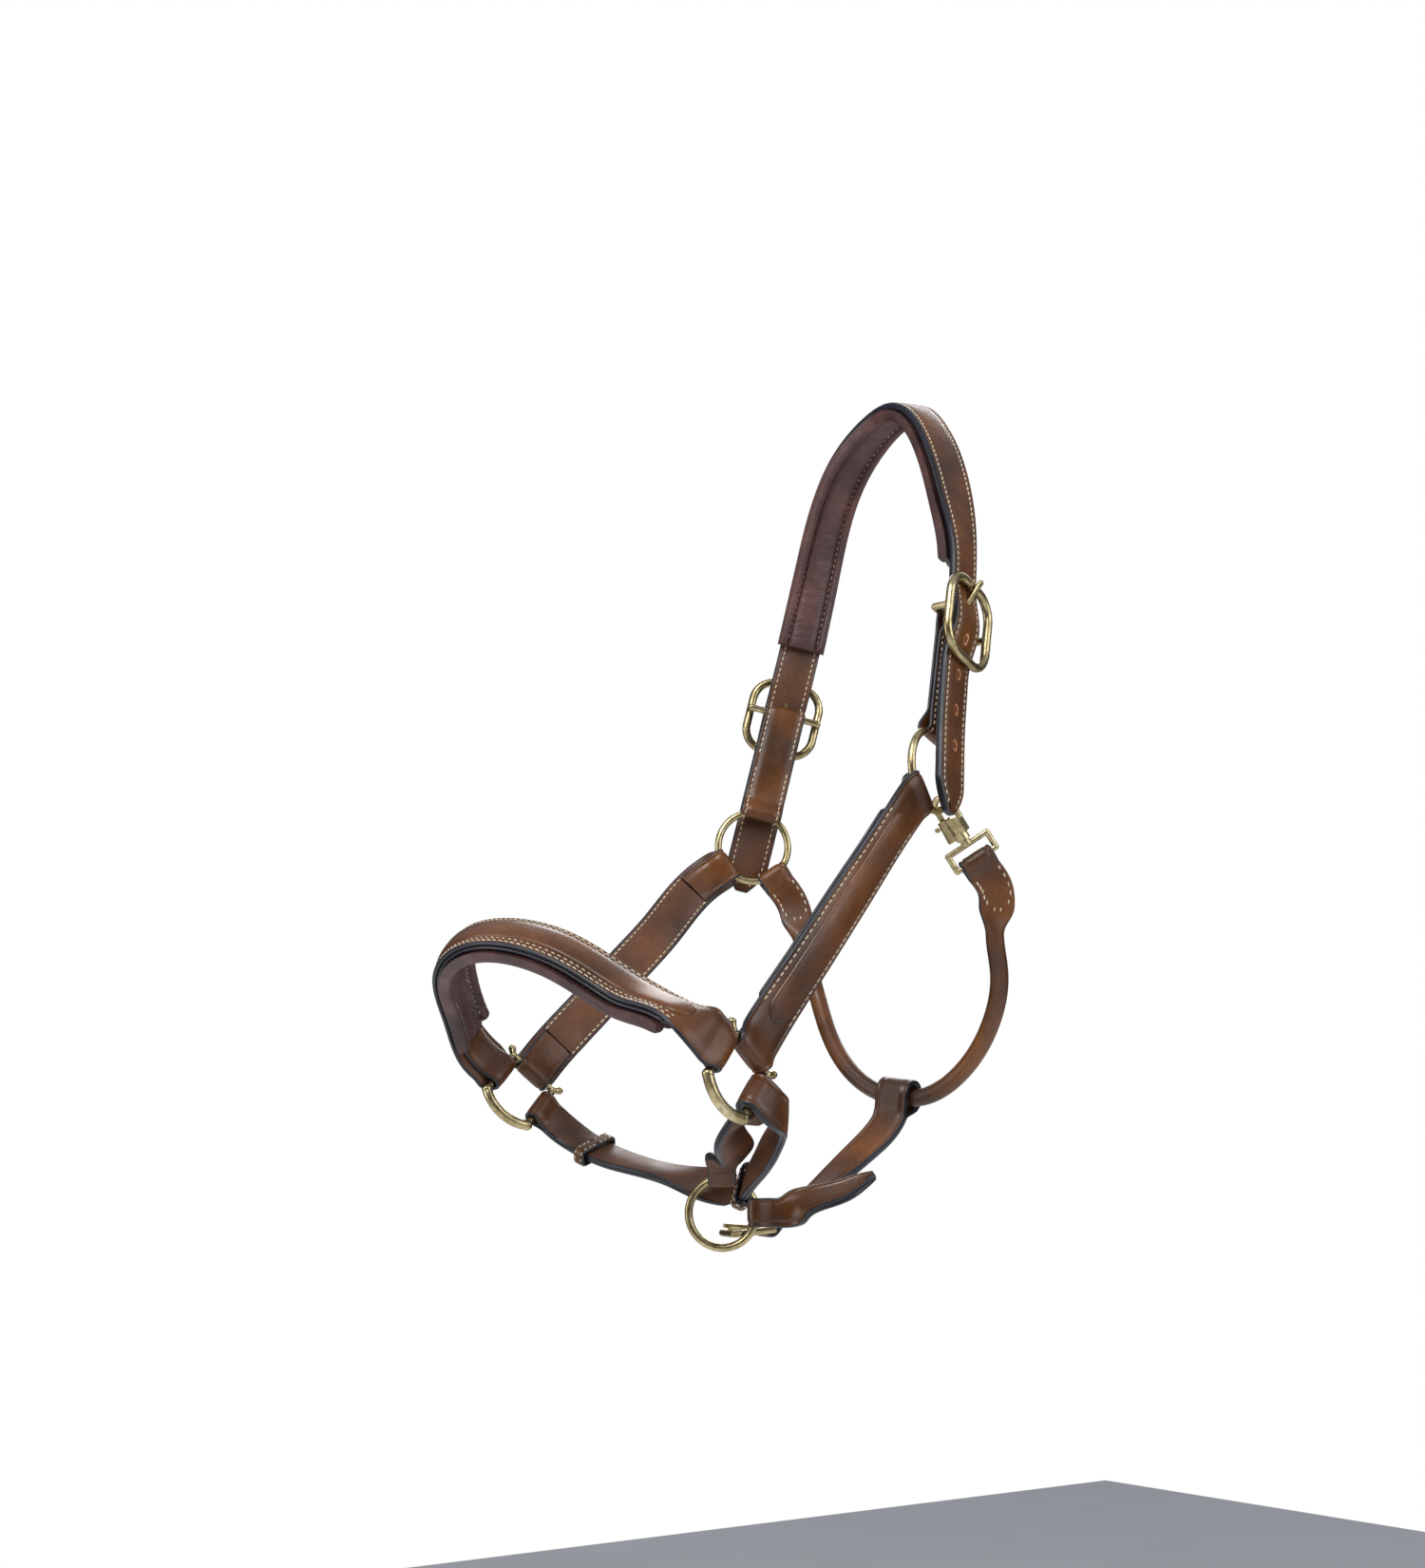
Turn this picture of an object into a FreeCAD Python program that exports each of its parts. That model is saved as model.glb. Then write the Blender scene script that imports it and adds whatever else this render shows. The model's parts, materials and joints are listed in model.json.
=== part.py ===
import FreeCAD, Part
import math
import os

# A padded leather headcollar, hanging from its crown as it does on a horse's head.
# Millimetres. +X is the horse's left (near) side, -Y is forward to the nose, +Z is up.
# The origin is the underside of the crown lining, at the top of its arch.

os.makedirs("parts", exist_ok=True)
V = FreeCAD.Vector

# Leather
STRAP_WIDTH = 24.0
STRAP_THICKNESS = 4.6
PLY = 1.9
END_WIDTH = 19.2
NOSEBAND_WIDTH = 28.0
CHIN_WIDTH = 18.8
THROAT_END_WIDTH = 18.0
LINING_EXTRA = 4.0
LINING_THICKNESS = 6.0
RAISED_WIDTH = 12.0
RAISED_HEIGHT = 2.0
LEATHER_GAP = 0.15
FIT_GAP = 0.35

# Brass
WIRE = 2.0
RING_RADIUS = 20.0
TIE_RING_RADIUS = 16.5
SQUARE_SIDE = 27.6
SQUARE_BAR = 1.8
SQUARE_CORNER = 2.1
CURVED_SIDE = 2.6
BUCKLE_WIDTH = 39.6
BUCKLE_HEIGHT = 42.4
BUCKLE_CORNER = 13.0
BUCKLE_WIRE = 2.4
BUCKLE_RISE = 8.2
TONGUE = 1.5
TONGUE_EYE = 3.6
TONGUE_EYE_WIDTH = 4.4

# Crown: the holes are one pitch apart, and the bar of each buckle lies between two of them.
HOLE_PITCH = 20.0
HOLE_RADIUS = 2.1
TONGUE_SLOT = (3.0, 16.0)
CROWN_TAIL = 106.0
BAR_TO_RING = 81.5
RING_DROP = 4.15

# Hanging shape of the two sides: the far side hangs one adjustment lower than the near side.
NEAR_BAR = V(84.0, -37.0, -147.0)
NEAR_UP = V(-0.09, 0.24, 0.967)
NEAR_OUT = V(0.93, 0.33, -0.12)
FAR_BAR = V(-85.0, -24.0, -156.0)
FAR_UP = V(0.105, 0.228, 0.968)
FAR_OUT = V(-0.87, 0.46, -0.02)
NEAR_SQUARE = V(90.8, -178.3, -377.2)
NEAR_SQUARE_UP = V(-0.10, -0.05, 0.99)
NEAR_SQUARE_OUT = V(0.96, 0.24, 0.11)
FAR_SQUARE = V(-92.7, -191.2, -374.9)
FAR_SQUARE_UP = V(-0.36, -0.02, 0.93)
FAR_SQUARE_OUT = V(-0.93, -0.05, -0.36)


class Frame:
    """A right-handed local frame: origin, along, outward and across = along x outward."""

    def __init__(self, origin, along, outward):
        self.origin = V(origin)
        self.along = V(along).normalize()
        outward = V(outward)
        self.outward = (outward - self.along * outward.dot(self.along)).normalize()
        self.across = self.along.cross(self.outward)

    def at(self, along, outward=0.0, across=0.0):
        return self.origin + self.along * along + self.outward * outward + self.across * across

    def moved(self, along=0.0, outward=0.0, across=0.0):
        return Frame(self.at(along, outward, across), self.along, self.outward)

    def reversed(self):
        return Frame(self.origin, -self.along, self.outward)

    def place(self, shape):
        """Moves a shape drawn in X = along, Y = outward, Z = across to this frame."""
        a, o, c, p = self.along, self.outward, self.across, self.origin
        matrix = FreeCAD.Matrix(a.x, o.x, c.x, p.x, a.y, o.y, c.y, p.y, a.z, o.z, c.z, p.z, 0, 0, 0, 1)
        return shape.transformed(matrix, copy=True)


class Route:
    """A smooth line with a face direction, through stations of (point, outward)."""

    def __init__(self, stations):
        points = [V(p) for p, n in stations]
        rail = [V(p) + V(n).normalize() * 10.0 for p, n in stations]
        self.knots = [0.0]
        for a, b in zip(points, points[1:]):
            self.knots.append(self.knots[-1] + (b - a).Length)
        self.line = Part.BSplineCurve()
        self.line.interpolate(Points=points, Parameters=self.knots)
        self.rail = Part.BSplineCurve()
        self.rail.interpolate(Points=rail, Parameters=self.knots)
        self.length = self.knots[-1]

    def frame(self, distance):
        point = self.line.value(distance)
        return Frame(point, self.line.tangent(distance)[0], self.rail.value(distance) - point)


def spread(start, stop, step):
    """Evenly spaced distances from start to stop, about one step apart."""
    count = max(2, math.ceil((stop - start) / step))
    return [start + (stop - start) * i / count for i in range(count + 1)]


def outline(frame, width, low, high):
    """The closed rectangular section of a strap across its frame."""
    half = width / 2
    corners = [frame.at(0, low, -half), frame.at(0, low, half), frame.at(0, high, half),
               frame.at(0, high, -half)]
    return Part.makePolygon(corners + corners[:1])


def ribbon(route, width, low, high, start=0.0, stop=None, step=9.0, first=None, last=None):
    """A strap lofted along a route. first and last are narrower widths that its ends taper to."""
    stop = route.length if stop is None else stop
    first = width if first is None else first
    last = width if last is None else last
    taper = 16.0
    wires = []
    for distance in spread(start, stop, step):
        from_first = max(0.0, 1 - (distance - start) / taper)
        from_last = max(0.0, 1 - (stop - distance) / taper)
        wide = width - (width - first) * from_first - (width - last) * from_last
        wires.append(outline(route.frame(distance), wide, low, high))
    return Part.makeLoft(wires, True, True)


def fold(frame, width, low, high, reach, wire, slot=0.0, ply=PLY):
    """The folded end of a strap round a bar that runs across, with the bar's middle at the frame.

    low and high are the faces of the strap, reach is how far back the fold closes, and slot is how
    much longer than round the hole is, for a bar that curves back towards the strap.
    """
    inner = wire + FIT_GAP
    outer = inner + ply
    points = [V(-reach, low, 0), V(slot, -outer, 0), V(slot, outer, 0), V(-reach, high, 0)]
    edges = [
        Part.makeLine(points[0], points[1]),
        Part.Arc(points[1], V(slot + outer, 0, 0), points[2]).toShape(),
        Part.makeLine(points[2], points[3]),
        Part.makeLine(points[3], points[0]),
    ]
    body = Part.Face(Part.Wire(edges)).extrude(V(0, 0, width))
    hole = Part.makeCylinder(inner, width, V(0, 0, 0), V(0, 0, 1))
    if slot:
        hole = hole.fuse(Part.makeCylinder(inner, width, V(slot, 0, 0), V(0, 0, 1)))
        hole = hole.fuse(Part.makeBox(slot, 2 * inner, width, V(0, -inner, 0)))
    body = body.cut(hole)
    body.translate(V(0, 0, -width / 2))
    return frame.place(body)


def block(frame, along, outward, across):
    """A box given by its two limits along each direction of a frame."""
    size = [pair[1] - pair[0] for pair in (along, outward, across)]
    return frame.place(Part.makeBox(*size, V(along[0], outward[0], across[0])))


def rod(start, end, radius):
    return Part.makeCylinder(radius, (end - start).Length, start, end - start)


def rounded_rod(points, radius):
    """Straight rods through points, with a ball at every joint between them."""
    shape = rod(points[0], points[1], radius)
    for a, b in zip(points[1:], points[2:]):
        shape = shape.fuse(Part.makeSphere(radius, a)).fuse(rod(a, b, radius))
    return shape


def join(shapes):
    return shapes[0].multiFuse(shapes[1:]).removeSplitter()


def sagitta(radius, width):
    return radius - math.sqrt(radius ** 2 - (width / 2) ** 2)


def write(name, shape):
    solids = shape.Solids
    assert solids and all(s.isValid() and s.Volume > 0 for s in solids), name
    shape = solids[0] if len(solids) == 1 else Part.makeCompound(solids)
    shape.exportStep(f"parts/{name}.step")
    print(f"{name:28s} solids {len(solids)}  volume {shape.Volume:10.1f}")


# ---------------------------------------------------------------- the two buckles of the crown

def crown_buckle_stations(bar):
    """Outer face of the crown through a buckle: under the top rim, over the bar, under the bottom rim."""
    heights = {-CROWN_TAIL: 10.0, -84.0: 8.4, -55.0: 6.2, -32.0: 5.4, -21.0: 5.5, -10.0: 7.7, 0.0: 9.1,
               10.0: 7.7, 21.0: 5.4,
               36.0: 4.0}
    return [(bar.at(along, outward), bar.outward) for along, outward in heights.items()]


def buckle_frame(bar, width, height, corner, wire, rise):
    """An oval frame raised above its bar, with a post at each end of the bar."""
    w, h = width / 2, height / 2
    outline_points = [V(h, rise, -w + corner), V(h, rise, w - corner),
                      V(h - corner, rise, w), V(corner - h, rise, w),
                      V(-h, rise, w - corner), V(-h, rise, corner - w),
                      V(corner - h, rise, -w), V(h - corner, rise, -w)]
    diagonal = corner * (1 - math.sqrt(0.5))
    middles = [V(h - diagonal, rise, w - diagonal), V(diagonal - h, rise, w - diagonal),
               V(diagonal - h, rise, diagonal - w), V(h - diagonal, rise, diagonal - w)]
    edges = []
    for i, middle in enumerate(middles):
        a, b = outline_points[2 * i], outline_points[2 * i + 1]
        edges.append(Part.makeLine(a, b))
        edges.append(Part.Arc(b, middle, outline_points[(2 * i + 2) % 8]).toShape())
    start = outline_points[0]
    profile = Part.Wire(Part.makeCircle(wire, start, V(0, 0, 1)))
    shapes = [Part.Wire(edges).makePipeShell([profile], True, True)]
    shapes.append(rod(V(0, 0, -w), V(0, 0, w), WIRE))
    for side in (-w, w):
        shapes.append(rod(V(0, 0, side), V(0, rise, side), WIRE))
        shapes.append(Part.makeSphere(WIRE, V(0, 0, side)))
    return bar.place(join(shapes))


def tongue(bar, reach, rise, wire):
    """A pin with an eye round the bar, its tip resting on the rim."""
    eye = Part.makeCylinder(TONGUE_EYE, TONGUE_EYE_WIDTH, V(0, 0, -TONGUE_EYE_WIDTH / 2), V(0, 0, 1))
    rim = math.hypot(rise, reach)
    angle = math.atan2(rise, reach) + math.asin((wire + TONGUE + 0.06) / rim)
    length = rim + 3.0
    pin = rod(V(0, 0, 0), V(length * math.cos(angle), length * math.sin(angle), 0), TONGUE)
    tip = Part.makeSphere(TONGUE, V(length * math.cos(angle), length * math.sin(angle), 0))
    bore = Part.makeCylinder(WIRE + 0.08, TONGUE_EYE_WIDTH + 2, V(0, 0, -TONGUE_EYE_WIDTH / 2 - 1),
                             V(0, 0, 1))
    return bar.place(join([eye, pin, tip]).cut(bore))


def chape(bar):
    """The doubled tab that holds a buckle at its top and a round ring at its bottom."""
    low, high = -2 * PLY - LEATHER_GAP, -LEATHER_GAP
    reach = 9.0
    down = Frame(bar.at(RING_RADIUS - BAR_TO_RING, -RING_DROP), -bar.along, bar.outward)
    slot = sagitta(RING_RADIUS, STRAP_WIDTH)
    upper_fold = fold(bar, STRAP_WIDTH, low, high, 12.0, WIRE)
    lower_fold = fold(down, STRAP_WIDTH, low + RING_DROP, high + RING_DROP, reach, WIRE, slot)
    half = STRAP_WIDTH / 2
    body = block(bar, (RING_RADIUS - BAR_TO_RING + reach - 1, -11.0), (low, high), (-half, half))
    window = TONGUE_EYE_WIDTH / 2 + FIT_GAP
    cut = block(bar, (-7.0, 7.0), (-7.0, 9.0), (-window, window))
    return join([upper_fold, body, lower_fold]).cut(cut)


# ---------------------------------------------------------------- rings and square fittings

def radial(ring, target):
    """A frame on a ring's wire, pointing at the ring's middle, on the side of a target point."""
    way = V(target) - ring.origin
    way = (way - ring.outward * way.dot(ring.outward)).normalize()
    return Frame(ring.origin + way * RING_RADIUS, -way, ring.outward)


def ring_room(ring, radius):
    """The room a ring needs in the leather folded round it."""
    return Part.makeTorus(radius, WIRE + 0.3, ring.origin, ring.outward)


def square_corner(square, along, across):
    half = SQUARE_SIDE / math.sqrt(2)
    return square.at(along * half, 0, across * half)


def square_bar(square, first, second):
    """A frame in the middle of the bar between two corners, pointing at the square's middle."""
    a, b = square_corner(square, *first), square_corner(square, *second)
    middle = (a + b) * 0.5
    return Frame(middle, square.origin - middle, square.outward)


def square_fitting(square, rear):
    """Three straight bars and a heavier curved side, with an ear at each end of the cheek bar."""
    top, back, bottom, front = (1, 0), (0, rear), (-1, 0), (0, -rear)
    t, b, d, f = (square_corner(square, *c) for c in (top, back, bottom, front))
    shapes = [rod(f, t, SQUARE_BAR), rod(t, b, SQUARE_BAR), rod(b, d, SQUARE_BAR)]
    shapes += [Part.makeSphere(SQUARE_CORNER, p) for p in (t, b)]
    for corner in (t, b):
        away = (corner - square.origin).normalize()
        shapes.append(rod(corner, corner + away * 4.0, SQUARE_BAR))
        shapes.append(Part.makeSphere(SQUARE_BAR + 0.2, corner + away * 4.0))
    middle = (f + d) * 0.5
    bulge = middle + (middle - square.origin).normalize() * 5.0
    arc = Part.Arc(f, bulge, d).toShape()
    direction = arc.tangentAt(arc.FirstParameter)
    circle = Part.Wire(Part.makeCircle(CURVED_SIDE, f, direction))
    shapes.append(Part.Wire([arc]).makePipeShell([circle], True, True))
    shapes += [Part.makeSphere(CURVED_SIDE + 0.15, p) for p in (f, d)]
    return join(shapes)


# ---------------------------------------------------------------- straps between fittings

def strap_between(first, second, between, width, thickness, ends, reach=9.0, lead=3.0, wires=(WIRE, WIRE),
                  slots=(0, 0), step=9.0):
    """A strap folded round a bar at both ends. first and second point into their bars."""
    half = thickness / 2
    start, finish = first.at(-reach - lead), second.at(-reach - lead)
    if not between:
        between = [(start + (finish - start) * share,
                    first.outward + (second.outward - first.outward) * share)
                   for share in (0.3, 0.5, 0.7)]
    stations = [(first.at(1 - reach), first.outward), (start, first.outward)]
    stations += between
    stations += [(finish, second.outward), (second.at(1 - reach), second.outward)]
    route = Route(stations)
    shapes = [fold(first, ends, -half, half, reach, wires[0], slots[0])]
    shapes.append(ribbon(route, width, -half, half, step=step, first=ends, last=ends))
    shapes.append(fold(second, ends, -half, half, reach, wires[1], slots[1]))
    return route, join(shapes)


# ---------------------------------------------------------------- places

near_bar = Frame(NEAR_BAR, NEAR_UP, NEAR_OUT)
far_bar = Frame(FAR_BAR, FAR_UP, FAR_OUT)
near_ring = near_bar.moved(-BAR_TO_RING, -RING_DROP)
far_ring = far_bar.moved(-BAR_TO_RING, -RING_DROP)
near_square = Frame(NEAR_SQUARE, NEAR_SQUARE_UP, NEAR_SQUARE_OUT)
far_square = Frame(FAR_SQUARE, FAR_SQUARE_UP, FAR_SQUARE_OUT)
TOP, BOTTOM = (1, 0), (-1, 0)


# ---------------------------------------------------------------- crown

crown_route = Route(
    crown_buckle_stations(near_bar)
    + [(V(74, -21, -74), V(0.95, 0.12, 0.31)), (V(39, -11, -11), V(0.7, 0.0, 0.71)),
       (V(-3, -3, 10), V(0, -0.15, 0.99)),
       (V(-41, -6, -9), V(-0.73, 0.0, 0.68)), (V(-74, -8, -69), V(-0.93, 0.25, 0.29))]
    + crown_buckle_stations(far_bar)[::-1]
)
near_bar_distance = crown_route.knots[6]
far_bar_distance = crown_route.knots[-7]


def crown_strap():
    """The long outer strap, with a pointed billet at each end and four slotted holes in it."""
    strap = ribbon(crown_route, STRAP_WIDTH, -STRAP_THICKNESS, 0, step=8.0)
    cuts = []
    for bar, end in ((near_bar, 0.0), (far_bar, crown_route.length)):
        tip = crown_route.frame(end)
        inward = 1 if end == 0.0 else -1
        for side in (-1, 1):
            corner = [tip.at(-inward, 0, side * 4.0), tip.at(-inward, 0, side * 14.0),
                      tip.at(inward * 15.0, 0, side * 14.0)]
            wedge = Part.Face(Part.makePolygon(corner + corner[:1]))
            wedge.translate(tip.outward * -12.0)
            cuts.append(wedge.extrude(tip.outward * 24.0))
        cuts.append(block(bar, TONGUE_SLOT, (2.0, 12.0), (-HOLE_RADIUS, HOLE_RADIUS)))
        for hole in (-0.5, -1.5, -2.5):
            where = bar.at(hole * HOLE_PITCH)
            cuts.append(rod(where, where + bar.outward * 14.0, HOLE_RADIUS))
    return strap.cut(cuts)


write("crown_strap", crown_strap())
write("crown_lining", ribbon(crown_route, STRAP_WIDTH + LINING_EXTRA, -STRAP_THICKNESS - LINING_THICKNESS,
                             -STRAP_THICKNESS - LEATHER_GAP, near_bar_distance + 34.0, far_bar_distance - 42.0))

for side, bar, ring in (("near", near_bar, near_ring), ("far", far_bar, far_ring)):
    write(f"{side}_crown_chape", chape(bar).cut(ring_room(ring, RING_RADIUS)))
    write(f"{side}_crown_buckle_frame",
          buckle_frame(bar, BUCKLE_WIDTH, BUCKLE_HEIGHT, BUCKLE_CORNER, BUCKLE_WIRE, BUCKLE_RISE))
    write(f"{side}_crown_buckle_tongue", tongue(bar, BUCKLE_HEIGHT / 2, BUCKLE_RISE, BUCKLE_WIRE))
    write(f"{side}_ring", Part.makeTorus(RING_RADIUS, WIRE, ring.origin, ring.outward))


# ---------------------------------------------------------------- squares and cheeks

NEAR_REAR, FAR_REAR = 1, -1
for side, square, rear in (("near", near_square, NEAR_REAR), ("far", far_square, FAR_REAR)):
    write(f"{side}_square", square_fitting(square, rear))

CHEEK_LEAN = V(0, -35, 25)
slot = sagitta(RING_RADIUS, END_WIDTH)
for side, square, ring, rear in (("near", near_square, near_ring, NEAR_REAR),
                                 ("far", far_square, far_ring, FAR_REAR)):
    lower = square_bar(square, TOP, (0, rear))
    upper = radial(ring, lower.origin + CHEEK_LEAN)
    route, strap = strap_between(upper, lower, [], STRAP_WIDTH, STRAP_THICKNESS, END_WIDTH,
                                 wires=(WIRE, SQUARE_BAR), slots=(slot, 0))
    write(f"{side}_cheek_strap", strap.cut(ring_room(ring, RING_RADIUS)))
    face = STRAP_THICKNESS / 2 + LEATHER_GAP
    write(f"{side}_cheek_raised_centre",
          ribbon(route, RAISED_WIDTH, face, face + RAISED_HEIGHT, 12.0, route.length - 12.0))

noseband_first = square_bar(near_square, TOP, (0, -NEAR_REAR))
noseband_last = square_bar(far_square, TOP, (0, -FAR_REAR))
noseband_route, noseband = strap_between(
    noseband_first, noseband_last,
    [(V(62, -210, -342), V(0.68, -0.05, 0.73)), (V(30, -232, -319), V(0.4, -0.3, 0.87)),
     (V(-4, -250, -308), V(0.05, -0.5, 0.86)),
     (V(-50, -252, -313), V(-0.4, -0.75, 0.5)), (V(-84, -233, -332), V(-0.63, -0.75, 0.2))],
    NOSEBAND_WIDTH, STRAP_THICKNESS, END_WIDTH, wires=(SQUARE_BAR, SQUARE_BAR), step=4.5)
write("noseband_strap", noseband)
face = STRAP_THICKNESS / 2 + LEATHER_GAP
write("noseband_raised_centre",
      ribbon(noseband_route, RAISED_WIDTH + 4, face, face + RAISED_HEIGHT, 14.0,
             noseband_route.length - 14.0, step=4.5))
write("noseband_lining",
      ribbon(noseband_route, NOSEBAND_WIDTH + LINING_EXTRA, -face - LINING_THICKNESS, -face, 20.0,
             noseband_route.length - 20.0,
             step=4.5))


# ---------------------------------------------------------------- snap hook on the near ring

EYE_TOP, EYE_BOTTOM, EYE_HALF, EYE_WIRE = 22.0, 31.0, 11.6, 1.5
HOOK_RADIUS, HOOK_WIRE = 4.9, 1.7
BOLT_RADIUS, BOLT_BORE = 1.5, 1.58
SWIVEL_RADIUS, SWIVEL_BORE = 1.7, 1.76
eye_target = V(86.0, -30.0, -268.0)
snap_seat = radial(near_ring, eye_target)
snap = Frame(snap_seat.origin, eye_target - snap_seat.origin, near_ring.outward)
eye_frame = Frame(snap.origin, snap.along, V(0.85, -0.5, -0.15))


def snap_body():
    """Hook and barrel: the hook curls over the ring, the barrel holds the bolt and the swivel."""
    stem = [V(8, HOOK_RADIUS, 0), V(0, HOOK_RADIUS, 0)]
    arc = Part.Arc(stem[1], V(-HOOK_RADIUS, 0, 0), V(0, -HOOK_RADIUS, 0)).toShape()
    circle = Part.Wire(Part.makeCircle(HOOK_WIRE, stem[1], V(1, 0, 0)))
    hook = Part.Wire([arc]).makePipeShell([circle], True, True)
    barrel = Part.makeCone(3.4, 4.2, 12.0, V(5.5, -HOOK_RADIUS + 0.6, 0), V(1, 0, 0))
    bridge = Part.makeBox(9.0, 2 * HOOK_RADIUS - 1.0, 5.0, V(6.5, 1.0 - HOOK_RADIUS, -2.5))
    head = Part.makeCylinder(3.6, 4.5, V(14.5, 0, 0), V(1, 0, 0))
    shape = join([hook, rod(stem[1], stem[0], HOOK_WIRE), barrel, bridge, head])
    bore = Part.makeCylinder(BOLT_BORE, 11.0, V(5.0, -HOOK_RADIUS, 0), V(1, 0, 0))
    slot = Part.makeBox(6.0, 6.0, 1.7, V(8.0, -HOOK_RADIUS - 6.0, -0.85))
    swivel = Part.makeCylinder(SWIVEL_BORE, 3.6, V(15.6, 0, 0), V(1, 0, 0))
    return snap.place(shape.cut(bore).cut(slot).cut(swivel))


def snap_bolt():
    """The sliding bolt that closes the hook, with its thumb stud."""
    pin = rod(V(0.4, -HOOK_RADIUS, 0), V(11.0, -HOOK_RADIUS, 0), BOLT_RADIUS)
    stud = rod(V(9.2, -HOOK_RADIUS, 0), V(9.2, -HOOK_RADIUS - 5.6, 0), 0.75)
    head = Part.makeSphere(1.3, V(9.2, -HOOK_RADIUS - 5.6, 0))
    return snap.place(join([pin, stud, head]))


def snap_spring():
    """The small spring under the bolt, as the sleeve that its turns fill."""
    sleeve = Part.makeCylinder(1.4, 4.6, V(11.2, -HOOK_RADIUS, 0), V(1, 0, 0))
    core = Part.makeCylinder(0.8, 5.0, V(11.0, -HOOK_RADIUS, 0), V(1, 0, 0))
    return snap.place(sleeve.cut(core))


def snap_eye():
    """The square eye that the throat strap is folded round, on a post that turns in the barrel."""
    corners = [V(EYE_TOP, 0, -EYE_HALF), V(EYE_TOP, 0, EYE_HALF), V(EYE_BOTTOM, 0, EYE_HALF),
               V(EYE_BOTTOM, 0, -EYE_HALF)]
    loop = rounded_rod(corners + corners[:1], EYE_WIRE).fuse(Part.makeSphere(EYE_WIRE, corners[0]))
    post = rod(V(15.8, 0, 0), V(EYE_TOP, 0, 0), SWIVEL_RADIUS)
    collar = rod(V(19.4, 0, 0), V(EYE_TOP, 0, 0), 2.6)
    return eye_frame.place(join([loop, post, collar]))


write("snap_body", snap_body())
write("snap_bolt", snap_bolt())
write("snap_spring", snap_spring())
write("snap_eye", snap_eye())


# ---------------------------------------------------------------- throat strap

ROLL_RADIUS, CORE_RADIUS = 4.6, 2.6
ROLL_POINTS = [V(81, -16, -302), V(77, -10, -322), V(62, -3, -346), V(40, -3, -368), V(18, -11.5, -382.5),
               V(-13, -25, -377), V(-36, -28.5, -357), V(-54, -25, -333), V(-66, -23, -309),
               V(-73, -24.5, -288)]
END_THICKNESS = 2 * PLY


def tube_path(points):
    """Straight runs through points, joined by the largest tangent arcs that their lengths allow."""
    edges, start = [], points[0]
    for a, b, c in zip(points, points[1:], points[2:]):
        before, after = (b - a), (c - b)
        turn = before.getAngle(after)
        tangent = 0.45 * min(before.Length, after.Length)
        before.normalize()
        after.normalize()
        enter, leave = b - before * tangent, b + after * tangent
        radius = tangent / math.tan(turn / 2)
        middle = b + (after - before).normalize() * (radius / math.cos(turn / 2) - radius)
        edges += [Part.makeLine(start, enter), Part.Arc(enter, middle, leave).toShape()]
        start = leave
    return Part.Wire(edges + [Part.makeLine(start, points[-1])])


def tube(path, radius):
    edge = path.Edges[0]
    direction = edge.tangentAt(edge.FirstParameter)
    circle = Part.Wire(Part.makeCircle(radius, edge.valueAt(edge.FirstParameter), direction))
    return path.makePipeShell([circle], True, False)


def throat_end(first, roll_end, roll_way, outward, wire, slot):
    """A flat sewn end, folded round a bar, that narrows into the rolled part."""
    reach = 8.0
    half = END_THICKNESS / 2
    route = Route([(first.at(1 - reach), first.outward), (first.at(-reach - 10), first.outward),
                   (roll_end, outward), (roll_end + roll_way * 3.0, outward)])
    sizes = [(0.0, THROAT_END_WIDTH, half), (0.55, THROAT_END_WIDTH, half), (0.8, 12.5, 2.6),
             (1.0, 6.2, 3.0)]
    wires = [outline(route.frame(share * route.length), wide, -h, h) for share, wide, h in sizes]
    return join([fold(first, THROAT_END_WIDTH, -half, half, reach, wire, slot),
                 Part.makeLoft(wires, True, True)])


roll_path = tube_path(ROLL_POINTS)
throat_way = eye_frame.at(EYE_BOTTOM) - ROLL_POINTS[0]
throat_way = throat_way - eye_frame.across * throat_way.dot(eye_frame.across)
throat_near = Frame(eye_frame.at(EYE_BOTTOM), throat_way, eye_frame.across.cross(throat_way))
throat_far = radial(far_ring, V(-79.0, -22.0, -272.0))
near_way = (ROLL_POINTS[1] - ROLL_POINTS[0]).normalize()
far_way = (ROLL_POINTS[-2] - ROLL_POINTS[-1]).normalize()
roll = tube(roll_path, ROLL_RADIUS)
core = tube(roll_path, CORE_RADIUS)
write("throat_roll", roll.cut(tube(roll_path, CORE_RADIUS)))
write("throat_cord_core", core)
near_end = throat_end(throat_near, ROLL_POINTS[0], near_way, throat_near.outward, EYE_WIRE, 0.0)
far_end = throat_end(throat_far, ROLL_POINTS[-1], far_way, far_ring.outward, WIRE,
                     sagitta(RING_RADIUS, THROAT_END_WIDTH))
write("throat_near_end", near_end.cut(roll).cut(core))
write("throat_far_end", far_end.cut(roll).cut(core).cut(ring_room(far_ring, RING_RADIUS)))


# ---------------------------------------------------------------- chin: tie ring and straps

CHIN_THICKNESS = 3.8
CHIN_HALF = CHIN_THICKNESS / 2
KEEPER_WIDTH = 7.0
KEEPER_THICKNESS = 1.6
KEEPER_GAP = 1.1
tie_ring = Frame(V(0, -128, -438), V(0, 0, 1), V(0.84, -0.54, 0))
tie_top = Frame(tie_ring.at(TIE_RING_RADIUS), tie_ring.outward * -0.87 + V(0, 0, -0.5), V(0, 0, 1))
tie_rear = Frame(tie_ring.at(0, 0, TIE_RING_RADIUS), -tie_ring.across, tie_ring.outward)
TIE_END_WIDTH = 14.0
tie_slot = sagitta(TIE_RING_RADIUS, TIE_END_WIDTH)
tie_room = ring_room(tie_ring, TIE_RING_RADIUS)
write("tie_ring", Part.makeTorus(TIE_RING_RADIUS, WIRE, tie_ring.origin, tie_ring.outward))


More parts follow.
